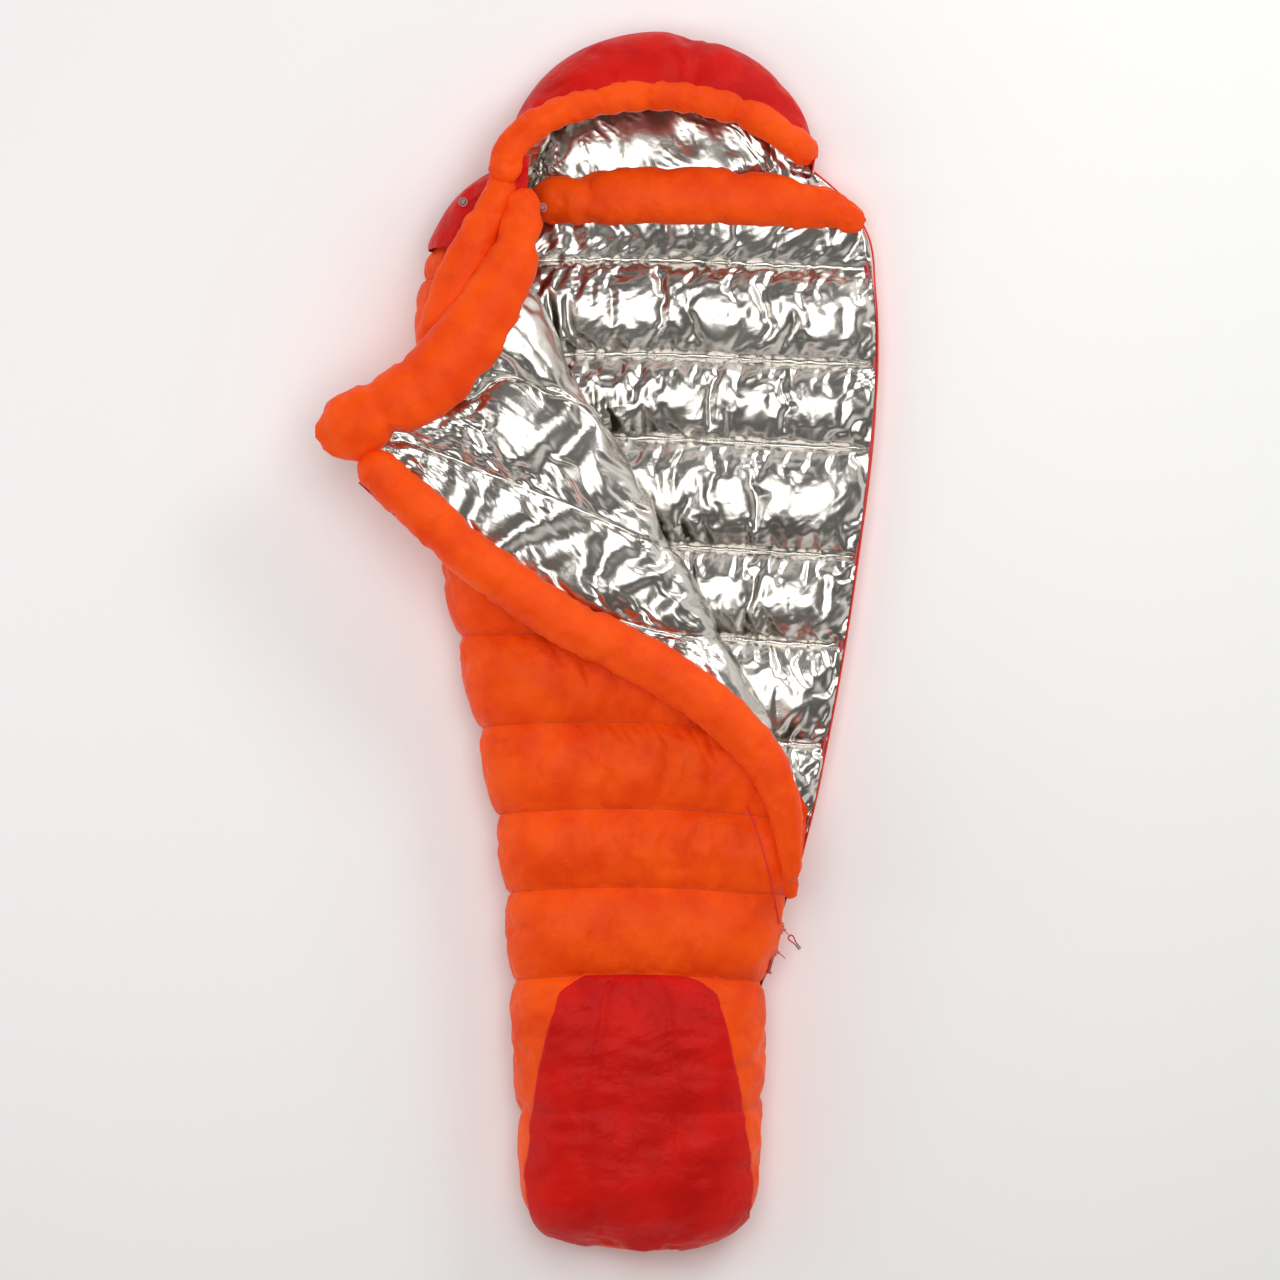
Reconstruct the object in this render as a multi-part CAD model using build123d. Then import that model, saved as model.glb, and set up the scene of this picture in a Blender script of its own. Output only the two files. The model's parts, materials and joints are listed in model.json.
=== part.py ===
from build123d import *
import math
import os

# Mummy sleeping bag, lying on its back and unzipped, with the zip side of its front panel folded over
# to the left. Units are millimetres. +Z is up, +Y runs from the foot to the hood, and +X points to the
# zip side. The origin lies on the surface that the bag rests on, under its middle. Each panel is shell
# cloth, a row of down chambers parted by baffle walls, and lining cloth.

# Heights of the layers, from the ground up.
CLOTH = 1.0                                   # shell and lining cloth, as modelled
BACK_TOP = 48.0                               # top of the back panel's lining
CAVITY = 64.0                                 # room for the sleeper between the panels
FRONT_BOTTOM = BACK_TOP + CAVITY
FRONT_THICK = 48.0
FRONT_TOP = FRONT_BOTTOM + FRONT_THICK
FOLD_GAP = 0.4                                # between the front panel and the flap that lies on it
FLAP_BOTTOM = FRONT_TOP + FOLD_GAP
FLAP_THICK = 42.0
FLAP_TOP = FLAP_BOTTOM + FLAP_THICK
WALL = 1.0                                    # thickness of a baffle wall
GAP = 0.3                                     # running clearance between pieces that move past each other

# Stations along the bag.
NECK_Y = 838.0                                # the back panel ends and the hood starts
SHOULDER_Y = 640.0                            # the front panel ends
SLIDER_Y = -500.0                             # the zip is closed below here
FOOT_Y = -1075.0
BACK_SEAMS = [NECK_Y, 668, 499, 350, 159, 0, -177, -318, -469, -610, -765, -920, FOOT_Y]
FRONT_SEAMS = [SHOULDER_Y, 499, 350, 159, 0, -150, -310, -465, -605, -840, FOOT_Y]
FLAP_SEAMS = [760, 499, 350, 159, 0]          # where they lie once the flap is closed

# The fold: the front panel ends at a straight crease, and the flap turns about an axis beside it.
CREASE_HEAD = Vector(-150, 568, 0)
CREASE_FOOT = Vector(250, -162, 0)
FOLD_ALONG = (CREASE_FOOT - CREASE_HEAD).normalized()
FOLD_ACROSS = Vector(-FOLD_ALONG.Y, FOLD_ALONG.X, 0)          # towards the zip side
CREASE_TO_AXIS = 50.0
FOLD_Z = FRONT_TOP + FOLD_GAP / 2
FOLD_AXIS = Axis(CREASE_HEAD + FOLD_ACROSS * CREASE_TO_AXIS + Vector(0, 0, FOLD_Z), -FOLD_ALONG)
ROLL_START = 40.0                             # from the head of the crease to the start of its roll
ROLL_LENGTH = 520.0
ROLL_HALF_HEIGHT = 40.0

# The closed end of the zip: a straight run on the bag's right side wall.
ZIP_TOP = Vector(322, SLIDER_Y, 0)
ZIP_BOTTOM = Vector(297, -590, 0)
ZIP_Z = 80.0
ZIP_DOWN = (ZIP_BOTTOM - ZIP_TOP).normalized()
ZIP_OUT = Vector(-ZIP_DOWN.Y, ZIP_DOWN.X, 0)                  # out of the side wall
ZIP_LENGTH = (ZIP_BOTTOM - ZIP_TOP).length
TAPE = 1.2                                    # thickness of the zip tape
TAPE_WIDTH = 12.0
COIL = 4.0                                    # width and height of one row of coil

# The two sliders, by their distance down the closed zip, and their pulls, by how far they stand out from it.
UPPER_SLIDER = 12.0
LOWER_SLIDER = 53.0
UPPER_PULL_TURN = 55.0
LOWER_PULL_TURN = 65.0
SLIDER_LENGTH = 16.0
SLIDER_PLATE = 2.4
PIN_R = 0.9
PIN_PLAY = 0.06
TAB_LENGTH = 14.0
TAB_THICK = 1.8
TAB_HOLE = 12.8                               # from the pin to the hole for the cord
PULL_CORD_R = 1.25
GRIP_START = 34.0                             # from the pin to the grip on the cord's ends

# The soft rolls along the flap's two free edges, by their centre lines seen from above.
DRAFT_TUBE_R = 42.0
DRAFT_TUBE_ROUTE = [(-398, 308), (-225, 150), (-60, 32), (150, -74), (246, -150), (292, -214)]
DRAFT_TUBE_BENDS = [260, 500, 500, 260]
COLLAR_HALF_WIDTH = 60.0
COLLAR_HALF_HEIGHT = 38.0
COLLAR_ROUTE = [(-200, 588), (-292, 452), (-474.2, 351.5)]
COLLAR_BENDS = [160]
TUBE_TO_ZIP = Vector(-20, -28, 0)             # from the draft tube's centre line to the zip tape beneath it

ROLL_LIFT = 3.0                                # how far the rolls' undersides clear the flap's shell
COLLAR_BACK_SIZE = (578.0, 96.0)
COLLAR_BACK_HEIGHT = 42.0
NECK_END_RADII = (42.0, 72.0, 31.0)
OUTER_ROLL_R = 25.0
OUTER_ROLL_Z = 187.0

SIDE_WALL = 55.0                              # thickness of the stuffed walls at the foot
FOOT_WALL_Y = -960.0                          # the foot wall takes over from the side walls below here
CUT_CLEAR = 5.0                               # how far a cutting shape reaches past what it cuts
ABOVE_ALL = 300.0                             # higher than any piece of the bag
HOOD_CENTRE = Vector(110, NECK_Y, 86)
HOOD_RADII = (267.0, 237.0, 94.0)
HOOD_WALL = 40.0
HOOD_LINING = 2.0
FACE_TUBE_R = 30.0

# The two cord locks: where each one stands, and the bore that its button runs in.
LOCK_R = 8.0
LOCK_HEIGHT = 16.0
LOCK_BORE_R = 5.4
BUTTON_PLAY = 0.3
COLLAR_LOCK = Pos(-100, 764, BACK_TOP + COLLAR_BACK_HEIGHT) * Rot(0, 0, 20)
HOOD_LOCK = Pos(-238, 768, FRONT_TOP) * Rot(0, 0, -40)


def save(node, *solids):
    """Writes one named node, as one solid or a group of separate ones."""
    shape = solids[0] if len(solids) == 1 else Compound(children=list(solids))
    export_step(shape, f"parts/{node}.step")


def slab(face, bottom, top):
    """A flat sheet or pad: the face drawn up from one height to another."""
    return Pos(0, 0, bottom) * extrude(face, top - bottom, dir=(0, 0, 1))


def band(y_low, y_high):
    """A wide rectangle between two stations, for cutting a panel into chambers."""
    return Pos(0, (y_low + y_high) / 2) * Rectangle(1200, y_high - y_low)


def back_outline():
    """The back panel from above, with the open zip's edge on the right."""
    zip_edge = Spline(
        (377, NECK_Y), (476, 734), (500, 495), (465, 141), (412, -177), (373, -354), (ZIP_TOP.X, SLIDER_Y))
    zip_run = Line((ZIP_TOP.X, ZIP_TOP.Y), (ZIP_BOTTOM.X, ZIP_BOTTOM.Y))
    right = Spline(zip_run @ 1, (295, -743), (286, -902), (245, -1024))
    foot = ThreePointArc(right @ 1, (78, FOOT_Y), (-88, -1034))
    left = Spline(
        foot @ 1, (-143, -902), (-156, -700), (-184, -336), (-269, 71), (-325, 548), (-263, 778),
        (-160, NECK_Y))
    neck = Line(left @ 1, zip_edge @ 0)
    return make_face([zip_edge, zip_run, right, foot, left, neck])


def on_crease(y):
    """The point of the crease at one station."""
    return CREASE_HEAD + FOLD_ALONG * ((y - CREASE_HEAD.Y) / FOLD_ALONG.Y)


def front_outline(back):
    """What stays put of the front panel: all that is left of the crease or below the slider."""
    below = Polyline(
        (-500, SHOULDER_Y), on_crease(SHOULDER_Y), CREASE_FOOT, (282, -334), (306, -401),
        (318, -494), (360, SLIDER_Y - 6), (360, FOOT_Y - CUT_CLEAR), (-500, FOOT_Y - CUT_CLEAR), close=True)
    return back & make_face(below)


def along(route, bends, z=0.0):
    """A path through a route's points at one height, with its corners rounded."""
    return FilletPolyline(*[(x, y, z) for x, y in route], radius=bends)


def flap_outline():
    """The flap as it lies folded over, between the crease, the draft tube and the front collar."""
    corners = [on_crease(510), on_crease(-90), *reversed(DRAFT_TUBE_ROUTE[:4]), *reversed(COLLAR_ROUTE)]
    between = make_face(Polyline(*corners, close=True))
    tube = trace(along(DRAFT_TUBE_ROUTE, DRAFT_TUBE_BENDS), 2 * (DRAFT_TUBE_R + 1))
    collar = trace(along(COLLAR_ROUTE, COLLAR_BENDS), 2 * (COLLAR_HALF_WIDTH + 1))
    return (between - tube - collar).faces().sort_by(SortBy.AREA)[-1]


def chambers(outline, seams, bottom, top):
    """One pad of down for each pair of seams, with room between pads for the baffle walls."""
    for y_high, y_low in zip(seams, seams[1:]):
        yield slab(outline & band(y_low + WALL / 2, y_high - WALL / 2), bottom, top)


def baffle_walls(outline, seams, bottom, top):
    """The upright cloth walls between the chambers, one at each inner seam."""
    return [slab(outline & band(y - WALL / 2, y + WALL / 2), bottom, top) for y in seams[1:-1]]


def panel(name, outline, seams, bottom, top, shell_below):
    """A whole quilted panel: two cloths, the down in its chambers, and the walls between those chambers."""
    lower, upper = ("shell", "lining") if shell_below else ("lining", "shell")
    save(f"{name}_{lower}", slab(outline, bottom, bottom + CLOTH))
    save(f"{name}_{upper}", slab(outline, top - CLOTH, top))
    pads = list(chambers(outline, seams, bottom + CLOTH, top - CLOTH))
    for number, pair in enumerate(zip(pads[::2], pads[1::2]), 1):
        save(f"{name}_down_pair_{number}", *pair)
    save(f"{name}_baffle_walls", *baffle_walls(outline, seams, bottom + CLOTH, top - CLOTH))


def cavity_outline():
    """The room for the sleeper between the two panels, from above."""
    left = Spline((-262, SHOULDER_Y + 40), (-214, 71), (-129, -336), (-101, -700), (-88, -900))
    foot = ThreePointArc(left @ 1, (78, FOOT_Y + SIDE_WALL), (232, -900))
    right = Spline(foot @ 1, (240, -743), (246, -590), (262, SLIDER_Y + 20))
    return make_face([left, foot, right, Line(right @ 1, left @ 0)])


def side_walls(front):
    """The stuffed walls that join the panels: down the left, round the foot and up the right to the zip."""
    ring = front - cavity_outline()
    left_of = make_face(Polyline(
        (-500, SHOULDER_Y), (-500, FOOT_WALL_Y), (0, FOOT_WALL_Y), (-60, -300), (-250, SHOULDER_Y),
        close=True))
    right_of = make_face(Polyline(
        (100, SLIDER_Y - 8), (400, SLIDER_Y - 8), (400, FOOT_WALL_Y), (100, FOOT_WALL_Y), close=True))
    save("side_wall_left", slab(ring & left_of, BACK_TOP, FRONT_BOTTOM))
    save("side_wall_right", slab(ring & right_of, BACK_TOP, FRONT_BOTTOM))
    save("foot_wall", slab(ring & band(FOOT_Y - CUT_CLEAR, FOOT_WALL_Y - WALL), BACK_TOP, FRONT_BOTTOM))


def foot_patch():
    """The tougher cloth over the toes, a rounded trapezium on top of the foot."""
    top = ThreePointArc((-68, -612), (62, -606), (198, -612))
    right = Line(top @ 1, (262, -985))
    foot = ThreePointArc(right @ 1, (78, FOOT_Y + 14), (-118, -985))
    face = make_face([top, right, foot, Line(foot @ 1, top @ 0)])
    save("foot_patch", slab(face, FRONT_TOP, FRONT_TOP + CLOTH))


def shoulder_yoke():
    """The stuffed yoke that carries the hood over the left shoulder."""
    face = make_face(Polyline(
        (-316, SHOULDER_Y + 1), (-302, 690), (-270, 752), (-205, 805), (-150, 812), (-150, 700),
        (-205, SHOULDER_Y + 1), close=True))
    save("shoulder_yoke_left", slab(face, BACK_TOP, FRONT_TOP))


def flap():
    """The part of the front panel that folds over, with its shell underneath and its lining on top."""
    outline = flap_outline()
    bottom, top = FLAP_BOTTOM + CLOTH, FLAP_TOP - CLOTH
    save("flap_shell", slab(outline, FLAP_BOTTOM, bottom))
    save("flap_lining", slab(outline, top, FLAP_TOP))
    closed = slab(outline, bottom, top).rotate(FOLD_AXIS, 180)
    pads = [closed & slab(band(y_low + WALL / 2, y_high - WALL / 2), 0, ABOVE_ALL)
            for y_high, y_low in zip(FLAP_SEAMS, FLAP_SEAMS[1:])]
    walls = [closed & slab(band(y - WALL / 2, y + WALL / 2), 0, ABOVE_ALL) for y in FLAP_SEAMS[1:-1]]
    save("flap_down", *[pad.rotate(FOLD_AXIS, 180) for pad in pads])
    save("flap_baffle_walls", *[wall.rotate(FOLD_AXIS, 180) for wall in walls])


def fold_roll():
    """The front panel's cloth and down where they turn over at the crease: a half-round roll beside it."""
    middle = (FRONT_BOTTOM + FLAP_TOP) / 2
    start = Plane(
        CREASE_HEAD + FOLD_ALONG * ROLL_START + Vector(0, 0, middle), x_dir=FOLD_ACROSS, z_dir=FOLD_ALONG)
    reach = CREASE_TO_AXIS - 2
    right_half = Ellipse(reach, ROLL_HALF_HEIGHT) & Pos(reach / 2 + GAP, 0) * Rectangle(reach, 100)
    save("fold_roll", extrude(start * right_half, ROLL_LENGTH))


def draft_tubes():
    """The stuffed tube that backs the zip: the long part is on the flap, and a short end is by the slider."""
    z = FLAP_BOTTOM + ROLL_LIFT + DRAFT_TUBE_R
    path = along(DRAFT_TUBE_ROUTE, DRAFT_TUBE_BENDS, z)
    save("draft_tube", sweep(Plane(path @ 0, z_dir=path % 0) * Circle(DRAFT_TUBE_R), path))
    rings = [((309, -270, z), 40), ((326, -345, z - 4), 36), ((336, -430, z - 22), 20)]
    lean = [(0.3, -1, 0), (0.2, -1, -0.1), (0.1, -1, -0.3)]
    save("draft_tube_end", loft([Plane(at, z_dir=way) * Circle(r) for (at, r), way in zip(rings, lean)]))


def collars():
    """The stuffed collars: along the flap's top edge, at the neck, and across the back panel."""
    path = along(COLLAR_ROUTE, COLLAR_BENDS, FLAP_BOTTOM + ROLL_LIFT + COLLAR_HALF_HEIGHT)
    section = Plane(path @ 0, x_dir=(path % 0).cross(Vector(0, 0, 1)), z_dir=path % 0)
    save("collar_front", sweep(section * Ellipse(COLLAR_HALF_WIDTH, COLLAR_HALF_HEIGHT), path))
    neck_height = FRONT_TOP + CLOTH + NECK_END_RADII[2]
    neck_end = Pos(-140, 700, neck_height) * Rot(0, 0, -14) * scale(Sphere(1), by=NECK_END_RADII)
    save("collar_neck_end", neck_end)
    low = BACK_TOP + GAP
    bar = Pos(166, 768, low) * extrude(RectangleRounded(*COLLAR_BACK_SIZE, 44), COLLAR_BACK_HEIGHT - GAP)
    save("collar_back", fillet(bar.edges().group_by(Axis.Z)[-1], 20))
    hem = along([(-180, 797), (-204, 742), (-250, 680), (-276, 628)], [120, 160], OUTER_ROLL_Z)
    save("collar_outer_roll", sweep(Plane(hem @ 0, z_dir=hem % 0) * Circle(OUTER_ROLL_R), hem))


def hood():
    """The hood: a stuffed shell with a face opening, a lining inside it and a stuffed tube round its edge."""
    def dome(shrink):
        half_ball = Sphere(1, arc_size3=180, align=(Align.CENTER, Align.MIN, Align.CENTER))
        return Pos(HOOD_CENTRE) * scale(half_ball, by=tuple(r - shrink for r in HOOD_RADII))

    path = ThreePointArc((-162, 818, 190), (110, 955, 150), (372, 858, 96))
    start = Plane(path @ 0, z_dir=path % 0)
    save("hood_face_tube", sweep(start * Circle(FACE_TUBE_R), path))
    room = sweep(start * Circle(FACE_TUBE_R + GAP), path)
    edge = ThreePointArc((-200, NECK_Y - 20), (110, 955), (420, NECK_Y - 20))
    opening = slab(make_face([edge, Line(edge @ 1, edge @ 0)]), HOOD_CENTRE.Z, ABOVE_ALL)
    above_ground = slab(band(NECK_Y, 1200), 0, ABOVE_ALL)
    save("hood_shell", (dome(0) - dome(HOOD_WALL) - opening - room) & above_ground)
    save("hood_lining", dome(HOOD_WALL) - dome(HOOD_WALL + HOOD_LINING) - opening - room)


def ribbon(path, width, bottom, top):
    """A strip that follows a path seen from above."""
    return slab(trace(path, width), bottom, top)


def zip_tapes():
    """The open zip's two tapes with their coils, and the run that is closed below the sliders."""
    edge = Spline((470, 704), (489, 495), (455, 141), (402, -177), (363, -354), (320, -470))
    save("zip_tape_back", ribbon(edge, TAPE_WIDTH, BACK_TOP, BACK_TOP + TAPE))
    save("zip_coil_back", ribbon(edge, COIL, BACK_TOP + TAPE, BACK_TOP + TAPE + COIL))
    beside = [(x + TUBE_TO_ZIP.X, y + TUBE_TO_ZIP.Y) for x, y in DRAFT_TUBE_ROUTE]
    flap_edge = along(beside, DRAFT_TUBE_BENDS)
    save("zip_tape_flap", ribbon(flap_edge, TAPE_WIDTH, FLAP_BOTTOM, FLAP_BOTTOM + TAPE))
    save("zip_coil_flap", ribbon(flap_edge, COIL, FLAP_BOTTOM + TAPE, FLAP_BOTTOM + TAPE + COIL))
    run = Line(ZIP_TOP + ZIP_OUT * (TAPE / 2), ZIP_BOTTOM + ZIP_OUT * (TAPE / 2))
    lower_tape = ribbon(run, TAPE, ZIP_Z - TAPE_WIDTH, ZIP_Z - GAP / 2)
    upper_tape = ribbon(run, TAPE, ZIP_Z + GAP / 2, ZIP_Z + TAPE_WIDTH)
    save("zip_tape_closed", lower_tape, upper_tape)
    outer = Line(ZIP_TOP + ZIP_OUT * (TAPE + COIL / 2), ZIP_BOTTOM + ZIP_OUT * (TAPE + COIL / 2))
    save("zip_coil_closed", ribbon(outer, COIL, ZIP_Z - COIL, ZIP_Z + COIL))
    save("zip_bottom_stop", zip_frame(ZIP_LENGTH - 2) * Pos(0, 0, COIL + TAPE + 1.5) * Box(4, 10, 3))


def zip_frame(distance):
    """A frame on the closed zip: x runs down the zip, y is down the side wall, and z points out of it."""
    return Plane(ZIP_TOP + ZIP_DOWN * distance + Vector(0, 0, ZIP_Z), x_dir=ZIP_DOWN, z_dir=ZIP_OUT)


def slider(name, distance, body_turn):
    """A zip slider that straddles the coil, with its pin. Returns the frame of the tab that turns on it."""
    frame = zip_frame(distance)
    under = TAPE + COIL + GAP
    plate = Pos(0, 0, under + SLIDER_PLATE / 2) * Box(SLIDER_LENGTH, 12, SLIDER_PLATE)
    pin_height = under + SLIDER_PLATE + 2.6
    body = plate + Pos(0, 0, pin_height) * Rot(90, 0, 0) * Cylinder(PIN_R, 10)
    for side in (-1, 1):
        body += Pos(0, side * (COIL + GAP + 1), (TAPE + GAP + under) / 2 + 0.5) * Box(SLIDER_LENGTH, 2, 5)
        body += Pos(0, side * 4, under + 4) * Box(5, 2, 6)
    save(f"{name}_body", frame * body)
    return frame * Pos(0, 0, pin_height) * Rot(0, -body_turn, 0)


def pull_tab(name, frame):
    """The metal tab on a slider's pin, with a hole at its far end."""
    eye = Rot(90, 0, 0) * (Cylinder(2.4, 4.8) - Cylinder(PIN_R + PIN_PLAY, 6))
    bar = Pos(1.6 + TAB_LENGTH / 2, 0, 0) * Box(TAB_LENGTH, 4.8, TAB_THICK)
    bar -= Rot(90, 0, 0) * Cylinder(2.2, 6)
    save(f"{name}_tab", frame * (eye + bar - Pos(TAB_HOLE, 0, 0) * Cylinder(1.7, 4)))


def cord_path(points):
    """Straight runs joined by tangent arcs, each as large as its two runs allow. Prints the arcs' radii."""
    corners = [Vector(*point) for point in points]
    radii = []
    for before, at, after in zip(corners, corners[1:], corners[2:]):
        turn = (at - before).get_angle(after - at)
        radii.append(0.45 * min((at - before).length, (after - at).length) / math.tan(math.radians(turn / 2)))
    print("cord radii:", [round(radius, 1) for radius in radii])
    return FilletPolyline(*points, radius=radii)


def pull_cord(name, frame):
    """A loop of cord through the tab's hole, with both of its ends in a grip."""
    half = [(GRIP_START, 1.6), (GRIP_START - 5.5, 1.6), (TAB_HOLE + 7.5, 4.8), (TAB_HOLE, 4.3)]
    points = [(x, 0, z) for x, z in half] + [(x, 0, -z) for x, z in reversed(half)]
    path = cord_path(points)
    print(f"{name}: {path.length:.1f} mm of cord")
    save(f"{name}_cord", frame * sweep(Plane(path @ 0, z_dir=path % 0) * Circle(PULL_CORD_R), path))
    grip = fillet(Cylinder(3.4, 9).edges().filter_by(GeomType.CIRCLE).sort_by(Axis.Z)[-1], 1.2)
    save(f"{name}_grip", frame * Pos(GRIP_START + 4.5, 0, 0) * Rot(0, 90, 0) * grip)


def cord_lock(name, place):
    """A spring cord lock: a barrel, a coil spring in its bore, and a button that presses down on it."""
    crossing = Rot(0, 90, 0) * Cylinder(2.0, 30)
    barrel = Pos(0, 0, LOCK_HEIGHT / 2) * Cylinder(LOCK_R, LOCK_HEIGHT)
    barrel -= Pos(0, 0, 10) * Cylinder(LOCK_BORE_R, LOCK_HEIGHT)
    barrel -= Pos(0, 0, 9) * crossing
    button = Pos(0, 0, 13) * Cylinder(LOCK_BORE_R - BUTTON_PLAY, 14) - Pos(0, 0, 11.5) * Box(30, 4, 6)
    button = fillet(button.edges().filter_by(GeomType.CIRCLE).sort_by(Axis.Z)[-1], 1.5)
    turns = Helix(pitch=1.2, height=3.2, radius=3.4)
    spring = Pos(0, 0, 2.4) * sweep(Plane(turns @ 0, z_dir=turns % 0) * Circle(0.35), turns)
    save(f"{name}_barrel", place * barrel)
    save(f"{name}_button", place * button)
    save(f"{name}_spring", place * spring)


def main():
    os.makedirs("parts", exist_ok=True)
    back = back_outline()
    front = front_outline(back)
    panel("back", back, BACK_SEAMS, 0.0, BACK_TOP, shell_below=True)
    panel("front", front, FRONT_SEAMS, FRONT_BOTTOM, FRONT_TOP, shell_below=False)
    side_walls(front)
    foot_patch()
    shoulder_yoke()
    flap()
    fold_roll()
    draft_tubes()
    collars()
    hood()
    zip_tapes()
    upper = slider("slider_upper", UPPER_SLIDER, UPPER_PULL_TURN)
    pull_tab("pull_upper", upper)
    pull_cord("pull_upper", upper)
    lower = slider("slider_lower", LOWER_SLIDER, LOWER_PULL_TURN)
    pull_tab("pull_lower", lower)
    cord_lock("collar_lock", COLLAR_LOCK)
    cord_lock("hood_lock", HOOD_LOCK)


if __name__ == "__main__":
    main()
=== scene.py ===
"""The looks of the mummy sleeping bag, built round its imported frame. Metres, +Z up, +Y towards the hood."""
import json
import math

import bpy
import numpy as np
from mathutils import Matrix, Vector


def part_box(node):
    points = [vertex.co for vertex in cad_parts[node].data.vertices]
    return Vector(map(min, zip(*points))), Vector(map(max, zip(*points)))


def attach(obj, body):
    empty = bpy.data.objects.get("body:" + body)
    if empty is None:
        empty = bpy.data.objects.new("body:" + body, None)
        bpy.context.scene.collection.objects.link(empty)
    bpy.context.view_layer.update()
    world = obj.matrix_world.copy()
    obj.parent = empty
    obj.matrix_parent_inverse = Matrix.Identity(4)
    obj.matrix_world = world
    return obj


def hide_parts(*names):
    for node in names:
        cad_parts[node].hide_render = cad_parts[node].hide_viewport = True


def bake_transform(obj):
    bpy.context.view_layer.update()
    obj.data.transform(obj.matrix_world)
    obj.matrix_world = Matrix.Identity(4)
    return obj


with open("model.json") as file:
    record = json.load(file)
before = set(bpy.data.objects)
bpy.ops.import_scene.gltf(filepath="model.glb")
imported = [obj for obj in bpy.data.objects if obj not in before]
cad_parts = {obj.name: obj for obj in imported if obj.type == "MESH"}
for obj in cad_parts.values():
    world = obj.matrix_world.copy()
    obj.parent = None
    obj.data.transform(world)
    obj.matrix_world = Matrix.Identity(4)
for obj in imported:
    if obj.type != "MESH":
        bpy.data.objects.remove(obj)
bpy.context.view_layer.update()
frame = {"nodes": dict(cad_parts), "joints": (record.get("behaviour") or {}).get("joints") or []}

# ---------------------------------------------------------------- sizes and places

FOLD = next(joint for joint in frame["joints"] if joint["name"] == "flap_fold")
FOLD_POINT = np.array(FOLD["pos_m"])
FOLD_ALONG = -np.array(FOLD["axis"])                        # from the neck towards the slider
FOLD_ACROSS = np.array([-FOLD_ALONG[1], FOLD_ALONG[0], 0.0])  # towards the zip side
CREASE_TO_AXIS = 0.050                                      # from the middle of the fold's roll to its axis

BACK_SEAMS = [0.838, 0.668, 0.499, 0.350, 0.159, 0.0, -0.177, -0.318, -0.469, -0.610, -0.765, -0.920]
FRONT_SEAMS = [0.640, 0.499, 0.350, 0.159, 0.0, -0.168, -0.320, -0.458, -0.612]
NECK_Y = 0.838
SLIDER_Y = -0.500
FOOT_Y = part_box("back_shell")[0][1]
LINING_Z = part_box("back_lining")[1][2]
CAVITY_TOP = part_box("front_lining")[0][2]
FRONT_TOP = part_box("front_shell")[1][2]

# The bag's outline from above, as (y, x) on its right, zip side and on its left side.
RIGHT_EDGE = [(-0.945, 0.280), (-0.850, 0.292), (-0.743, 0.296), (-0.610, 0.298), (-0.575, 0.305),
              (-0.545, 0.316), (-0.500, 0.324), (-0.430, 0.352), (-0.354, 0.373), (-0.177, 0.412),
              (0.141, 0.465), (0.350, 0.490), (0.495, 0.500), (0.620, 0.496), (0.734, 0.476),
              (0.800, 0.425), (0.838, 0.380)]
LEFT_EDGE = [(-0.945, -0.139), (-0.850, -0.149), (-0.743, -0.154), (-0.601, -0.160), (-0.469, -0.167),
             (-0.336, -0.185), (-0.177, -0.216), (0.071, -0.269), (0.350, -0.311), (0.548, -0.324),
             (0.654, -0.314), (0.734, -0.277), (0.790, -0.232), (0.838, -0.160)]
FOOT_START = -0.945                                         # the foot rounds off below here
FOOT_POWER = 2.5
MIDDLE_X = 0.070                                            # where the two sides meet at the tip of the foot


def profile(points):
    """A smooth curve through (position, value) pairs, as a function of position."""
    xs, ys = (np.array(column, float) for column in zip(*points))
    slopes = np.gradient(ys, xs)

    def at(x):
        x = np.clip(np.asarray(x, float), xs[0], xs[-1])
        i = np.clip(np.searchsorted(xs, x) - 1, 0, len(xs) - 2)
        width = xs[i + 1] - xs[i]
        t = (x - xs[i]) / width
        return ((2 * t**3 - 3 * t**2 + 1) * ys[i] + (t**3 - 2 * t**2 + t) * width * slopes[i]
                + (3 * t**2 - 2 * t**3) * ys[i + 1] + (t**3 - t**2) * width * slopes[i + 1])
    return at


right_at = profile(RIGHT_EDGE)
left_at = profile(LEFT_EDGE)


def ease_in_out(t):
    """0 to 1 with a gentle start and end."""
    return t * t * (3 - 2 * t)


def foot_share(y):
    """1 along the bag, falling to 0 at the tip of the foot, as a rounded end."""
    t = np.clip((FOOT_START - np.asarray(y, float)) / (FOOT_START - FOOT_Y), 0, 1)
    return (1 - t**FOOT_POWER) ** (1 / FOOT_POWER)


def outline(y):
    """The bag at one station: its share of the full width there, and its left and right x."""
    share = float(foot_share(y))
    left, right = (MIDDLE_X + (float(edge(y)) - MIDDLE_X) * share for edge in (left_at, right_at))
    return share, left, right


def distances(points):
    """How far along a line each of its points is."""
    return np.r_[0, np.cumsum(np.linalg.norm(np.diff(points, axis=0), axis=1))]


def distances_across(grid):
    """How far along its own row each point of a grid is."""
    steps = np.linalg.norm(np.diff(grid, axis=1), axis=2)
    return np.hstack([np.zeros((len(grid), 1)), np.cumsum(steps, 1)])


def points_at(places, marks, line):
    """The points of a line at places, where marks are the places of the points it is given by."""
    return np.stack([np.interp(places, marks, line[:, k]) for k in range(line.shape[1])], 1)


def curve(points, count):
    """A smooth, evenly spaced line through points."""
    points = np.array(points, float)
    steps = distances(points)
    fine = np.linspace(0, steps[-1], 400)
    line = np.stack([profile(list(zip(steps, points[:, k])))(fine) for k in range(points.shape[1])], 1)
    return evenly(line, count)


def evenly(line, count):
    """The same line with its points evenly spaced."""
    steps = distances(line)
    return points_at(np.linspace(0, steps[-1], count), steps, line)


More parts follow.
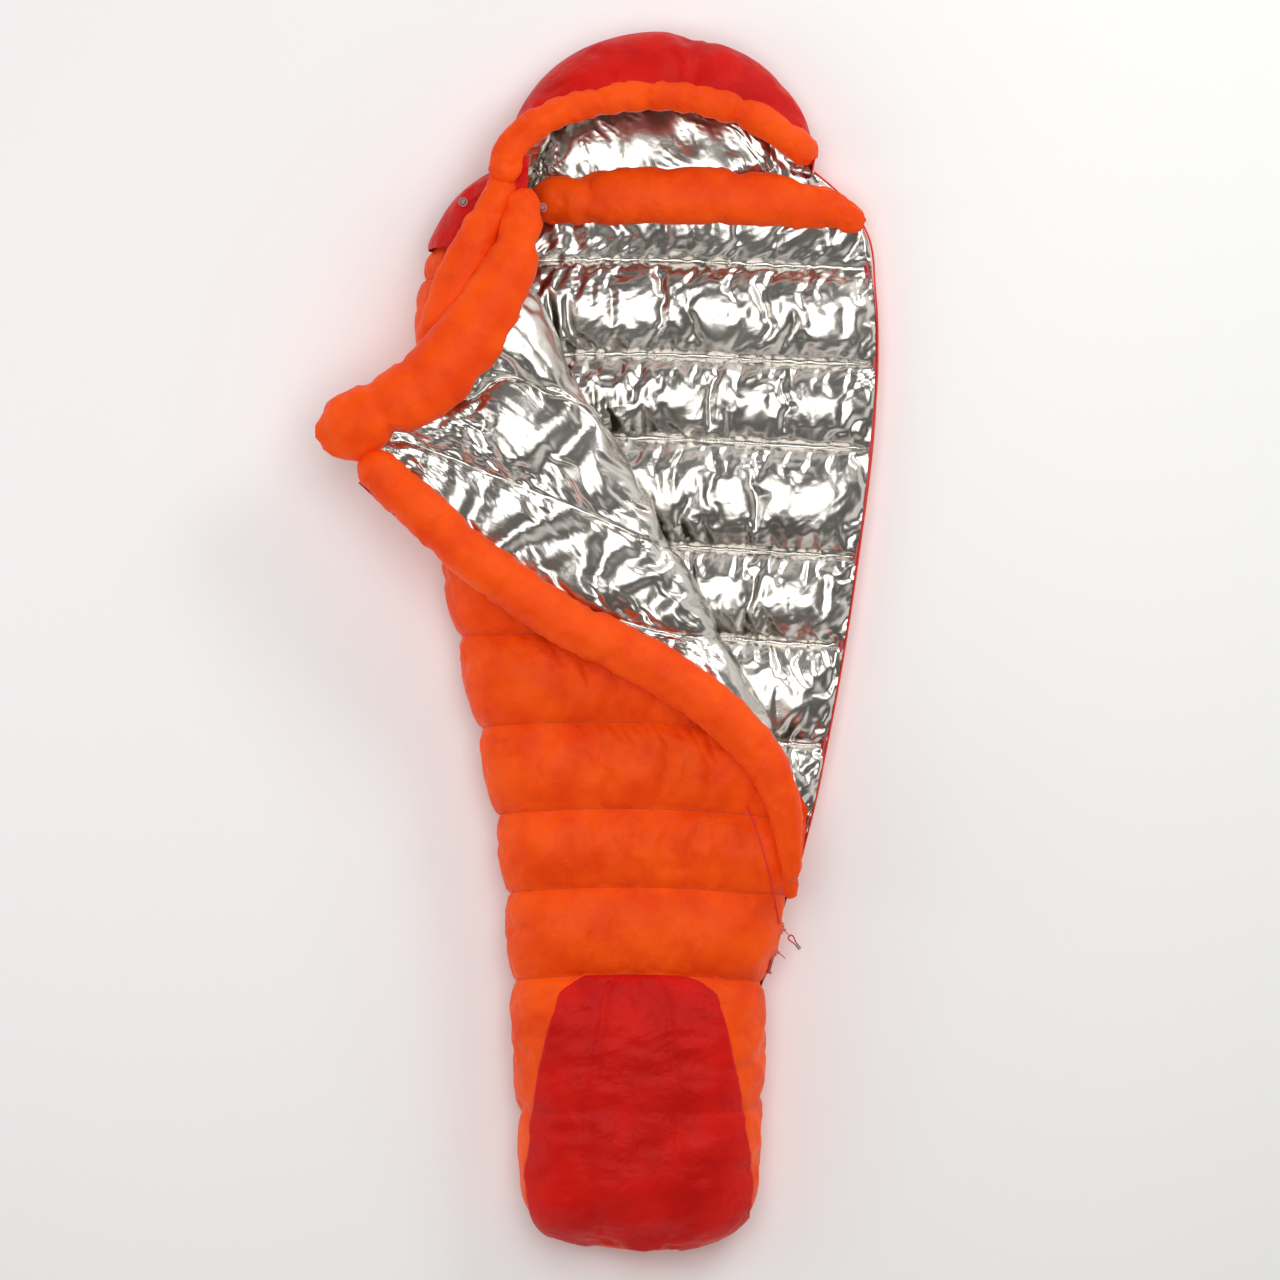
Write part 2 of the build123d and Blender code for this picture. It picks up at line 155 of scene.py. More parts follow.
def fold_frame(along, across, z):
    """A point given beside the fold: how far down it, how far across it and how high."""
    down, sideways = np.multiply.outer(along, FOLD_ALONG), np.multiply.outer(across, FOLD_ACROSS)
    flat = FOLD_POINT * [1, 1, 0] + down + sideways
    return flat + np.multiply.outer(z, [0, 0, 1])


# ---------------------------------------------------------------- meshes

UNEVEN = 0.0012                                             # how uneven a cloth is before it is swollen


def unit(v):
    return v / np.maximum(np.linalg.norm(v, axis=-1, keepdims=True), 1e-9)


def grid_normals(grid, closed=False):
    """The normals of a grid of points; closed joins its last column to its first."""
    if closed:
        across = np.roll(grid, -1, 1) - np.roll(grid, 1, 1)
    else:
        across = np.gradient(grid, axis=1)
    return unit(np.cross(across, np.gradient(grid, axis=0)))


def grid_faces(rows, columns, closed=False):
    index = np.arange(rows * columns).reshape(rows, columns)
    if closed:
        index = np.hstack([index, index[:, :1]])
    return np.stack([index[:-1, :-1], index[:-1, 1:], index[1:, 1:], index[1:, :-1]], -1).reshape(-1, 4)


def new_object(name, points, faces):
    mesh = bpy.data.meshes.new(name)
    mesh.from_pydata(np.asarray(points).tolist(), [], [tuple(map(int, face)) for face in faces])
    mesh.update()
    for face in mesh.polygons:
        face.use_smooth = True
    obj = bpy.data.objects.new(name, mesh)
    bpy.context.scene.collection.objects.link(obj)
    return obj


def from_grid(name, grid, closed=False, flip=False, cap=False):
    """An object from a grid of points, its faces on the side of the normals. cap closes a tube's ends."""
    rows, columns = grid.shape[:2]
    faces = grid_faces(rows, columns, closed).tolist()
    points = grid.reshape(-1, 3)
    if cap:
        points = np.vstack([points, grid[0].mean(0), grid[-1].mean(0)])
        first, last = rows * columns, rows * columns + 1
        for k in range(columns):
            after = (k + 1) % columns
            faces.append([first, after, k])
            faces.append([last, (rows - 1) * columns + k, (rows - 1) * columns + after])
    if flip:
        faces = [face[::-1] for face in faces]
    return new_object(name, points, faces)


def noise_field(shape, cell, seed):
    """Smooth noise from -1 to 1 over a grid, with features about cell points wide."""
    random = np.random.default_rng(seed)
    cell_rows, cell_columns = cell if isinstance(cell, tuple) else (cell, cell)
    knots = random.uniform(-1, 1, (int(shape[0] / cell_rows) + 3, int(shape[1] / cell_columns) + 3))
    r = np.arange(shape[0]) / cell_rows
    c = np.arange(shape[1]) / cell_columns
    ri, ci = r.astype(int), c.astype(int)
    rf = (r - ri)[:, None]
    cf = (c - ci)[None, :]
    rf, cf = ease_in_out(rf), ease_in_out(cf)
    a = knots[ri][:, ci] * (1 - cf) + knots[ri][:, ci + 1] * cf
    b = knots[ri + 1][:, ci] * (1 - cf) + knots[ri + 1][:, ci + 1] * cf
    return a * (1 - rf) + b * rf


def place_noise(a, b, seed):
    """Smooth noise from -1 to 1 at places counted in cells."""
    knots = np.random.default_rng(seed).uniform(-1, 1, (64, 64))
    ai, bi = np.floor(a).astype(int), np.floor(b).astype(int)
    af, bf = a - ai, b - bi
    af, bf = ease_in_out(af), ease_in_out(bf)

    def knot(i, j):
        return knots[(ai + i) % 64, (bi + j) % 64]
    return ((knot(0, 0) * (1 - bf) + knot(0, 1) * bf) * (1 - af)
            + (knot(1, 0) * (1 - bf) + knot(1, 1) * bf) * af)


def creases(x, y, heading, seed, length=0.062, width=0.0105):
    """Small sharp folds, from 0 to 1, that run roughly one way across a flat cloth."""
    x = x + 0.016 * place_noise(x / 0.075, y / 0.075, seed + 1)
    y = y + 0.016 * place_noise(x / 0.075, y / 0.075, seed + 2)
    c, s = math.cos(math.radians(heading)), math.sin(math.radians(heading))
    ridge = np.abs(place_noise((x * c + y * s) / length, (y * c - x * s) / width, seed))
    patch = np.clip(0.5 + 0.9 * place_noise(x / 0.055, y / 0.055, seed + 3), 0, 1)
    return (1 - np.minimum(1, ridge * 1.6)) ** 2 * patch


def denser(grid, closed=False):
    """The same surface with a new point between each two."""
    def along_rows(g, wrap):
        if wrap:
            ring = np.concatenate([g[-1:], g, g[:2]])
        else:
            ring = np.concatenate([2 * g[:1] - g[1:2], g, 2 * g[-1:] - g[-2:-1]])
        middles = (9 * (ring[1:-2] + ring[2:-1]) - ring[:-3] - ring[3:]) / 16
        out = np.empty((len(g) + len(middles),) + g.shape[1:])
        out[::2] = g
        out[1::2] = middles
        return out
    return np.swapaxes(along_rows(np.swapaxes(along_rows(grid, False), 0, 1), closed), 0, 1)


def relax(grid, held, times, closed=False):
    """Evens out a grid's points, apart from the held ones."""
    for _ in range(times):
        if closed:
            sides = np.roll(grid, 1, 1) + np.roll(grid, -1, 1)
        else:
            sides = (np.concatenate([grid[:, :1], grid[:, :-1]], 1)
                     + np.concatenate([grid[:, 1:], grid[:, -1:]], 1))
        ends = np.concatenate([grid[:1], grid[:-1]]) + np.concatenate([grid[1:], grid[-1:]])
        grid = np.where(held[..., None], grid, 0.5 * grid + 0.125 * (sides + ends))
    return grid


def pinned_edges(grid, *rows):
    """Marks a grid's four edges, and the rows given, as the points that the cloth is held at."""
    pinned = np.zeros(grid.shape[:2], bool)
    for row in (0, -1, *rows):
        pinned[row] = True
    pinned[:, 0] = pinned[:, -1] = True
    return pinned


def inflate(grid, pinned, pressure, slack, cap, closed=False, seed=1, frames=20, stiff=12.0, bending=0.03,
            ease=1):
    """The points of a grid of cloth swollen between its pinned points. slack is the share of spare cloth."""
    normals = grid_normals(grid, closed)
    uneven = noise_field(grid.shape[:2], 2.5, seed) * UNEVEN
    start = grid + normals * uneven[..., None] * (~pinned)[..., None]
    rows, columns = grid.shape[:2]
    obj = new_object("cloth", start.reshape(-1, 3), grid_faces(rows, columns, closed))
    group = obj.vertex_groups.new(name="pinned")
    group.add([int(i) for i in np.flatnonzero(pinned.ravel())], 1.0, "ADD")
    cloth = obj.modifiers.new("cloth", "CLOTH")
    settings = cloth.settings
    settings.quality = 5
    settings.mass = 0.1
    settings.tension_stiffness = stiff
    settings.compression_stiffness = stiff
    settings.shear_stiffness = stiff / 3
    settings.bending_stiffness = bending
    settings.vertex_group_mass = "pinned"
    settings.use_pressure = True
    settings.uniform_pressure_force = pressure
    settings.shrink_min = -slack
    settings.effector_weights.gravity = 0
    cloth.collision_settings.use_self_collision = False
    cloth.collision_settings.use_collision = False
    scene = bpy.context.scene
    cloth.point_cache.frame_start = 1
    cloth.point_cache.frame_end = frames
    for number in range(1, frames + 1):
        scene.frame_set(number)
    evaluated = obj.evaluated_get(bpy.context.evaluated_depsgraph_get())
    swollen = np.empty(rows * columns * 3, np.float32)
    evaluated.data.vertices.foreach_get("co", swollen)
    swollen = swollen.reshape(rows, columns, 3).astype(float)
    bpy.data.objects.remove(obj)
    scene.frame_set(1)
    moved = swollen - grid
    far = np.linalg.norm(moved, axis=2, keepdims=True)
    limit = cap * np.tanh(far / cap)
    grid = grid + moved * np.divide(limit, far, out=np.zeros_like(far), where=far > 1e-9)
    return relax(grid, pinned, ease, closed)


def finish_piece(obj, body, material, nodes=(), smooth=1):
    """Gives a piece its material and its body, and hides the frame's nodes that it stands in for."""
    obj.data.materials.append(material)
    if smooth:
        subdivision = obj.modifiers.new("smooth", "SUBSURF")
        subdivision.levels = smooth
        subdivision.render_levels = smooth
    if nodes:
        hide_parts(*nodes)
    if body:
        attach(obj, body)


# ---------------------------------------------------------------- materials

def new_material(name):
    material = bpy.data.materials.new(name)
    material.use_nodes = True
    return material, material.node_tree.nodes, material.node_tree.links


def add_node(nodes, kind, **inputs):
    node = nodes.new(kind)
    for name, value in inputs.items():
        node.inputs[name.replace("_", " ")].default_value = value
    return node


def crinkle(nodes, links, scale, detail, distance, strength, before=None, kind="noise"):
    """One layer of bump, laid over the one before it."""
    place = nodes.new("ShaderNodeTexCoord")
    if kind == "noise":
        texture = add_node(nodes, "ShaderNodeTexNoise", Scale=scale, Detail=detail, Roughness=0.6,
                           Distortion=0.8)
        links.new(place.outputs["Object"], texture.inputs["Vector"])
        height = texture.outputs["Fac"]
    elif kind == "creases":
        warp = add_node(nodes, "ShaderNodeTexNoise", Scale=scale * 0.6, Detail=2.0)
        links.new(place.outputs["Object"], warp.inputs["Vector"])
        shift = nodes.new("ShaderNodeVectorMath")
        shift.operation = "MULTIPLY_ADD"
        links.new(warp.outputs["Color"], shift.inputs[0])
        shift.inputs[1].default_value = (0.05, 0.05, 0.05)
        links.new(place.outputs["Object"], shift.inputs[2])
        texture = add_node(nodes, "ShaderNodeTexVoronoi", Scale=scale)
        texture.feature = "F1"
        links.new(shift.outputs["Vector"], texture.inputs["Vector"])
        height = texture.outputs["Distance"]
    bump = add_node(nodes, "ShaderNodeBump", Strength=strength, Distance=distance)
    links.new(height, bump.inputs["Height"])
    if before is not None:
        links.new(before.outputs["Normal"], bump.inputs["Normal"])
    return bump


def weave(nodes, links, pitch, distance, before):
    """The crossing threads of a thin woven cloth."""
    place = nodes.new("ShaderNodeTexCoord")
    sums = []
    for axis in ("X", "Y"):
        wave = add_node(nodes, "ShaderNodeTexWave", Scale=1 / pitch / math.tau, Distortion=0.3)
        wave.bands_direction = axis
        links.new(place.outputs["Object"], wave.inputs["Vector"])
        sums.append(wave.outputs["Fac"])
    both = nodes.new("ShaderNodeMath")
    both.operation = "MAXIMUM"
    links.new(sums[0], both.inputs[0])
    links.new(sums[1], both.inputs[1])
    bump = add_node(nodes, "ShaderNodeBump", Strength=0.25, Distance=distance)
    links.new(both.outputs[0], bump.inputs["Height"])
    links.new(before.outputs["Normal"], bump.inputs["Normal"])
    return bump


def shell_cloth(name, colour, deep):
    """Thin nylon shell cloth: fine weave, soft crinkles, and a colour that deepens in patches."""
    material, nodes, links = new_material(name)
    shader = nodes["Principled BSDF"]
    shader.inputs["Roughness"].default_value = 0.46
    shader.inputs["Sheen Weight"].default_value = 0.04
    shader.inputs["Sheen Roughness"].default_value = 0.4
    shader.inputs["Specular IOR Level"].default_value = 0.12
    place = nodes.new("ShaderNodeTexCoord")
    patches = add_node(nodes, "ShaderNodeTexNoise", Scale=14.0, Detail=3.0)
    links.new(place.outputs["Object"], patches.inputs["Vector"])
    ramp = nodes.new("ShaderNodeValToRGB")
    ramp.color_ramp.elements[0].position = 0.30
    ramp.color_ramp.elements[0].color = (*deep, 1)
    ramp.color_ramp.elements[1].position = 0.62
    ramp.color_ramp.elements[1].color = (*colour, 1)
    links.new(patches.outputs["Fac"], ramp.inputs["Fac"])
    links.new(ramp.outputs["Color"], shader.inputs["Base Color"])
    coarse = crinkle(nodes, links, 24, 4, 0.008, 0.42)
    fine = crinkle(nodes, links, 85, 4, 0.0022, 0.50, coarse)
    threads = weave(nodes, links, 0.0011, 0.0002, fine)
    links.new(threads.outputs["Normal"], shader.inputs["Normal"])
    return material


def lining_cloth(name):
    """Metal-coated lining: bright, creased all over, with a thin grey film that dulls it in patches."""
    material, nodes, links = new_material(name)
    shader = nodes["Principled BSDF"]
    shader.inputs["Metallic"].default_value = 1.0
    place = nodes.new("ShaderNodeTexCoord")
    patches = add_node(nodes, "ShaderNodeTexNoise", Scale=9.0, Detail=4.0)
    links.new(place.outputs["Object"], patches.inputs["Vector"])
    ramp = nodes.new("ShaderNodeValToRGB")
    ramp.color_ramp.elements[0].position = 0.3
    ramp.color_ramp.elements[0].color = (0.50, 0.47, 0.43, 1)
    ramp.color_ramp.elements[1].position = 0.7
    ramp.color_ramp.elements[1].color = (0.66, 0.63, 0.585, 1)
    links.new(patches.outputs["Fac"], ramp.inputs["Fac"])
    links.new(ramp.outputs["Color"], shader.inputs["Base Color"])
    dull = nodes.new("ShaderNodeMapRange")
    dull.inputs["To Min"].default_value = 0.20
    dull.inputs["To Max"].default_value = 0.32
    links.new(patches.outputs["Fac"], dull.inputs["Value"])
    links.new(dull.outputs["Result"], shader.inputs["Roughness"])
    creases = crinkle(nodes, links, 20, 2, 0.004, 0.14, kind="creases")
    coarse = crinkle(nodes, links, 38, 2, 0.003, 0.16, creases)
    fine = crinkle(nodes, links, 150, 3, 0.0006, 0.18, coarse)
    links.new(fine.outputs["Normal"], shader.inputs["Normal"])
    return material


def plain_material(name, colour, roughness, metallic=0.0, bump_scale=400, bump=0.0002, coat=0.0):
    """A small hard part or a tape: one colour with slight mottling and a fine surface."""
    material, nodes, links = new_material(name)
    shader = nodes["Principled BSDF"]
    shader.inputs["Roughness"].default_value = roughness
    shader.inputs["Metallic"].default_value = metallic
    shader.inputs["Coat Weight"].default_value = coat
    place = nodes.new("ShaderNodeTexCoord")
    patches = add_node(nodes, "ShaderNodeTexNoise", Scale=bump_scale * 0.4, Detail=3.0)
    links.new(place.outputs["Object"], patches.inputs["Vector"])
    ramp = nodes.new("ShaderNodeValToRGB")
    ramp.color_ramp.elements[0].position = 0.3
    ramp.color_ramp.elements[0].color = (*[c * 0.75 for c in colour], 1)
    ramp.color_ramp.elements[1].position = 0.7
    ramp.color_ramp.elements[1].color = (*colour, 1)
    links.new(patches.outputs["Fac"], ramp.inputs["Fac"])
    links.new(ramp.outputs["Color"], shader.inputs["Base Color"])
    grain = crinkle(nodes, links, bump_scale, 3, bump, 0.5)
    links.new(grain.outputs["Normal"], shader.inputs["Normal"])
    return material


ORANGE = shell_cloth("orange_shell_cloth", (0.93, 0.088, 0.002), (0.80, 0.052, 0.001))
RED = shell_cloth("red_shell_cloth", (0.64, 0.007, 0.003), (0.50, 0.004, 0.002))
SILVER = lining_cloth("silver_lining_cloth")
TAPE = plain_material("zip_tape_cloth", (0.58, 0.015, 0.015), 0.7)
BINDING = plain_material("edge_binding_cloth", (0.80, 0.035, 0.015), 0.6)
COIL = plain_material("zip_coil_plastic", (0.45, 0.012, 0.015), 0.35)
METAL = plain_material("slider_paint", (0.40, 0.012, 0.015), 0.3, metallic=0.4, coat=0.4)
CORD = plain_material("pull_cord_cloth", (0.62, 0.02, 0.02), 0.75)
GRIP = plain_material("pull_grip_rubber", (0.32, 0.31, 0.31), 0.6)
DARK_RED = plain_material("collar_lock_plastic", (0.33, 0.018, 0.020), 0.25, coat=0.5)
MAROON = plain_material("hood_lock_plastic", (0.20, 0.008, 0.010), 0.25, coat=0.5)
STEEL = plain_material("spring_wire", (0.6, 0.6, 0.6), 0.3, metallic=1.0)
THREAD = plain_material("seam_thread", (0.20, 0.19, 0.175), 0.6)
RED_THREAD = plain_material("shell_thread", (0.55, 0.05, 0.01), 0.6)


# ---------------------------------------------------------------- stage, light and camera

def stage():
    """A white floor, a soft sky that the lining mirrors, three soft boxes and the camera overhead."""
    floor_mesh = bpy.data.meshes.new("floor")
    floor_mesh.from_pydata([(-9, -9, 0), (9, -9, 0), (9, 9, 0), (-9, 9, 0)], [], [(0, 1, 2, 3)])
    floor = bpy.data.objects.new("floor", floor_mesh)
    bpy.context.scene.collection.objects.link(floor)
    floor.location.z = -0.001
    material, nodes, _ = new_material("floor_paint")
    nodes["Principled BSDF"].inputs["Base Color"].default_value = (0.97, 0.97, 0.97, 1)
    nodes["Principled BSDF"].inputs["Roughness"].default_value = 0.9
    nodes["Principled BSDF"].inputs["Specular IOR Level"].default_value = 0.1
    floor_mesh.materials.append(material)

    world = bpy.data.worlds.new("studio")
    world.use_nodes = True
    sky, wires = world.node_tree.nodes, world.node_tree.links
    place = sky.new("ShaderNodeTexCoord")
    parts = sky.new("ShaderNodeSeparateXYZ")
    wires.new(place.outputs["Generated"], parts.inputs[0])
    ramp = sky.new("ShaderNodeValToRGB")
    ramp.color_ramp.elements[0].position = 0.0
    ramp.color_ramp.elements[0].color = (1.0, 0.99, 0.98, 1)
    ramp.color_ramp.elements[1].position = 0.95
    ramp.color_ramp.elements[1].color = (0.10, 0.093, 0.086, 1)
    for position, level in ((0.34, 0.95), (0.52, 0.42), (0.66, 0.09)):
        step = ramp.color_ramp.elements.new(position)
        step.color = (level, level * 0.985, level * 0.97, 1)
    wires.new(parts.outputs["Z"], ramp.inputs["Fac"])
    wires.new(ramp.outputs["Color"], sky["Background"].inputs["Color"])
    sky["Background"].inputs["Strength"].default_value = 1.12
    bpy.context.scene.world = world
    # (name, place, size, watts): soft boxes with dark gaps between them, which the lining mirrors
    boxes = [("top_box", (0.15, 0.55, 4.2), (2.7, 3.0), 88), ("key_box", (2.2, 2.6, 2.4), (1.5, 1.0), 34),
             ("left_strip", (-2.9, 0.3, 2.3), (0.6, 3.0), 16)]
    for name, place, size, watts in boxes:
        light = bpy.data.lights.new(name, "AREA")
        light.shape = "RECTANGLE"
        light.size, light.size_y = size
        light.energy = watts
        lamp = bpy.data.objects.new(name, light)
        lamp.location = place
        lamp.rotation_euler = (Vector((0, 0, 0.1)) - Vector(place)).to_track_quat("-Z", "Y").to_euler()
        bpy.context.scene.collection.objects.link(lamp)

    bpy.context.scene.view_settings.view_transform = "Standard"
    camera_data = bpy.data.cameras.new("camera")
    camera_data.sensor_width = 36.0
    distance, seen_width, seen_height = 9.0, 2.263, 0.10
    camera_data.lens = camera_data.sensor_width * (distance - seen_height) / seen_width
    camera_data.clip_end = 60.0
    camera = bpy.data.objects.new("camera", camera_data)
    camera.location = (0.0725, 0.0, distance)
    bpy.context.scene.collection.objects.link(camera)
    bpy.context.scene.camera = camera


stage()


# ---------------------------------------------------------------- the pull cord

def pull_cord():
    """The loop through the upper slider's tab. Its route repeats the frame's, beside the tab's pin."""
    joint = next(j for j in frame["joints"] if j["name"] == "pull_upper_swing")
    pin = np.array(joint["pos_m"])
    slide = next(j for j in frame["joints"] if j["name"] == "slider_upper_slide")
    down = np.array(slide["axis"])
    out = np.array([-down[1], down[0], 0.0])
    turn = math.radians(55)
    away = down * math.cos(turn) + out * math.sin(turn)
    side = -down * math.sin(turn) + out * math.cos(turn)
    half = [(0.034, 0.0016), (0.0285, 0.0016), (0.0203, 0.0048), (0.0128, 0.0043)]
    route = ([pin + away * x + side * z for x, z in half]
             + [pin + away * x - side * z for x, z in reversed(half)])
    data = bpy.data.curves.new("pull_cord", "CURVE")
    data.dimensions = "3D"
    spline = data.splines.new("NURBS")
    spline.points.add(len(route) - 1)
    for point, place in zip(spline.points, route):
        point.co = (*place, 1)
    spline.order_u = 3
    spline.use_endpoint_u = True
    data.resolution_u = 12
    data.bevel_depth = 0.00125
    data.bevel_resolution = 4
    data.use_fill_caps = True
    data.materials.append(CORD)
    cord = bpy.data.objects.new("pull_cord", data)
    bpy.context.scene.collection.objects.link(cord)
    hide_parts("pull_upper_cord")
    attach(cord, "pull_upper")


pull_cord()


# ---------------------------------------------------------------- shapes shared by the soft pieces

def wander(x, wavelength, random):
    """A wandering line from about -1 to 1, with waves of about one length."""
    total = np.zeros_like(x)
    for share in (0.62, 1.0, 1.7):
        total += np.sin(math.tau * x / (wavelength * share * random.uniform(0.85, 1.15))
                        + random.uniform(0, math.tau))
    return total / 2.0


def ripples(place, along, seams, wavelength, reach, seed):
    """The gathers that run out from each seam, from about -1 to 1. place counts across the seams."""
    random = np.random.default_rng(seed)
    field = np.zeros_like(place)
    for seam in seams:
        for side in (-1, 1):
            away = (place - seam) * side
            slant = random.uniform(-0.9, 0.9)
            line = (wander(along + slant * away, wavelength, random)
                    * (0.6 + 0.4 * wander(along, wavelength * 6, random)))
            fade = np.exp(-np.abs(away) / reach) * (1 - np.exp(-np.abs(away) / 0.002))
            field += np.where(away > 0, fade * line, 0)
    return field


def puffs(place, seams, power=0.55):
    """0 at each seam, rising to 1 in the middle of each chamber."""
    marks = np.sort(np.array(seams))
    i = np.clip(np.searchsorted(marks, place) - 1, 0, len(marks) - 2)
    t = np.clip((place - marks[i]) / (marks[i + 1] - marks[i]), 0, 1)
    return (4 * t * (1 - t)) ** power


def rolled(line, half_width, half_height, around):
    """A tube of points round a line: rows along it, columns round it from its right side over its top."""
    tangent = unit(np.gradient(line, axis=0))
    side = unit(np.cross([0.0, 0.0, 1.0], tangent))
    up = np.cross(tangent, side)
    angles = np.arange(around) * math.tau / around
    spread = np.cos(angles)[None, :, None] * side[:, None, :] * half_width[:, None, None]
    rise = np.sin(angles)[None, :, None] * up[:, None, :] * half_height[:, None, None]
    return line[:, None, :] + spread + rise


def stuffed_roll(name, points, widths, heights, step, slack, cap, seed, ripple=0.0034, wavelength=0.024,
                 squeeze=(), pressure=3.0):
    """A stuffed tube along a line, gathered into one seam underneath. squeeze lists nips: (share, depth)."""
    points = np.array(points, float)
    length = np.linalg.norm(np.diff(points, axis=0), axis=1).sum()
    count = int(length / step)
    share = np.linspace(0, 1, count)
    line = curve(points, count)
    marks = np.linspace(0, 1, len(widths))
    half_width = profile(list(zip(marks, widths)))(share)
    half_height = profile(list(zip(marks, heights)))(share)
    blunt = np.minimum(1, ((np.minimum(share, 1 - share) * length + 0.001) / (half_width * 0.75))) ** 0.42
    nips = 1 - sum((depth * np.exp(-(((share - at) * length / 0.012) ** 2)) for at, depth in squeeze),
                   np.zeros(count))
    around = max(16, int(math.tau * float(np.mean(widths)) / step))
    grid = rolled(line, half_width * blunt * nips, half_height * blunt * nips, around)
    angles = np.arange(around) * math.tau / around
    normals = grid_normals(grid, True)
    along = share[:, None] * length + 0 * angles[None, :]
    gather = ripples(np.cos(angles)[None, :] + 0 * along, along, [-1.02, 1.02], wavelength, 0.5, seed)
    fold = noise_field((count, around), (0.05 / step, 5), seed + 5)
    grid += normals * ((gather + 0.35 * fold) * ripple * 1.6)[..., None]
    pinned = np.zeros(grid.shape[:2], bool)
    pinned[:, int(around * 0.75)] = True
    pinned[:2] = pinned[-2:] = True
    swollen = denser(inflate(grid, pinned, pressure, slack, cap, closed=True, seed=seed, ease=2), True)
    s2 = np.linspace(0, length, swollen.shape[0])[:, None]
    a2 = (np.arange(swollen.shape[1]) * float(np.mean(widths)) * math.tau / swollen.shape[1])[None, :]
    edge = np.abs(np.cos(np.arange(swollen.shape[1]) * math.tau / swollen.shape[1]))[None, :]
    s2, a2 = s2 + 0 * a2, a2 + 0 * s2
    fold = creases(s2, a2, 58, seed + 20) + 0.6 * creases(s2, a2, 105, seed + 30, 0.04, 0.009)
    swollen = swollen + grid_normals(swollen, True) * (0.0016 * fold * (0.35 + 0.65 * edge**2))[..., None]
    return from_grid(name, swollen, closed=True, cap=True)


def nodes_named(*starts):
    """The names of the frame's nodes that begin one of these ways."""
    return [name for name in frame["nodes"] if name.startswith(starts)]


# ---------------------------------------------------------------- the bag's outer shell

SIDE_REACH = 0.088                                          # how far the rounded sides reach in
MIDDLE_Z = 0.074                                            # the height of the widest part
SHELL_NIP = 0.013                                           # how deep the shell's seams sit below its puffs
SEAM_ARCH = 0.024                                           # how far the lower seams bow up in the middle
FRONT_TOP_Y = 0.700                                         # where the front shell ends, under the collar
CREASE_REACH = 0.022                                        # how far the front's edge reaches past the axis
SHELL_BEFORE_AXIS = 0.0115                                  # how far before the axis the shell is cut off
LINING_INSET = 0.032                                        # how far the lining stops short of that edge

# Where the front panel's right edge is on its rounded side, as (y, turn): 1.5 on top, 0 half way down.
FRONT_END = [(-1.080, -0.55), (-0.640, -0.55), (-0.590, 0.0), (-0.500, 0.0), (-0.430, 0.30),
             (-0.370, 0.62), (-0.320, 0.80), (0.700, 0.85)]
front_end_turn = profile(FRONT_END)


def crease_x(y):
    """The x of the front panel's rounded edge beside the crease, which reaches into the fold."""
    edge = FOLD_POINT + FOLD_ALONG * ((y - FOLD_POINT[1]) / FOLD_ALONG[1])
    return edge[0] + CREASE_REACH


def side_arc(angles, reach, height):
    """The rounded side of a stuffed panel, a little squarer than an ellipse, as widths and heights."""
    power = 2 / 2.3
    c, s = np.cos(angles), np.sin(angles)
    return np.sign(c) * np.abs(c) ** power * reach, np.sign(s) * np.abs(s) ** power * height


def front_section(y, columns):
    """The front shell's line at one station, from under the left side up and over to its right end."""
    share, left, right = outline(y)
    open_share = ease_in_out(float(np.clip((y - SLIDER_Y) / 0.15, 0, 1)))
    end_x = right * (1 - open_share) + min(right, crease_x(y)) * open_share
    top = MIDDLE_Z + (FRONT_TOP - 0.002 - MIDDLE_Z) * max(share, 0.02)
    reach_left = min(SIDE_REACH, (end_x - left) * 0.45)
    reach_right = reach_left * (1 - open_share) + 0.05 * open_share
    angles = np.linspace(math.radians(222), math.radians(90), 40)
    lx, lz = side_arc(angles, reach_left, 1.0)
    lz = np.where(lz > 0, lz * (top - MIDDLE_Z), lz * MIDDLE_Z * share)
    turn = float(front_end_turn(y)) * math.radians(60)
    angles = np.linspace(math.radians(90), turn, 30)
    rx, rz = side_arc(angles, reach_right, 1.0)
    rz = np.where(rz < 0, rz * MIDDLE_Z / (top - MIDDLE_Z), rz)
    drop = (top - MIDDLE_Z) * (1 - open_share) + 0.010 * open_share
    x = np.r_[left + reach_left + lx, end_x - reach_right + rx]
    z = np.r_[MIDDLE_Z + lz, top - drop + rz * drop]
    from_middle = np.abs((x - (left + end_x) / 2) / ((end_x - left) / 2 + 1e-6))
    crown = 0.008 * share * (1 - np.clip(from_middle, 0, 1) ** 2)
    line = np.stack([x, np.full(len(x), y), z + crown], 1)
    return evenly(line, columns)


def seam_depth(positions, seams, width):
    """1 at a seam, fading to 0 away from it."""
    gaps = np.min(np.abs(np.subtract.outer(positions, np.array(seams))), axis=-1)
    return np.exp(-((gaps / width) ** 1.2))


def stations(low, high, step, seams):
    """Evenly spaced stations from low to high, shifted a little so that each seam falls on one."""
    marks = [low] + sorted(s for s in seams if low + step < s < high - step) + [high]
    rows = []
    for a, b in zip(marks, marks[1:]):
        count = max(2, round((b - a) / step))
        rows.extend(np.linspace(a, b, count, endpoint=False))
    return np.array(rows + [high])


def near_seam(positions, seams):
    """Which positions are on a seam."""
    return np.min(np.abs(np.subtract.outer(positions, np.array(seams))), axis=1) < 1e-6


def foot_stations(count):
    """Stations that crowd towards the tip of the foot."""
    turn = np.linspace(math.pi / 2 * 0.985, 0, count, endpoint=False)
    return FOOT_START - (FOOT_START - FOOT_Y) * np.sin(turn)


def bow(rows, columns, lowest, highest, height):
    """How far each point of a grid moves towards the hood, so that its seams arch between its sides."""
    across = np.linspace(-1, 1, columns)[None, :]
    fade = np.clip((highest - rows) / 0.25, 0, 1) * np.clip((rows - lowest) / 0.20, 0, 1)
    return height * (1 - across**2) * fade[:, None]


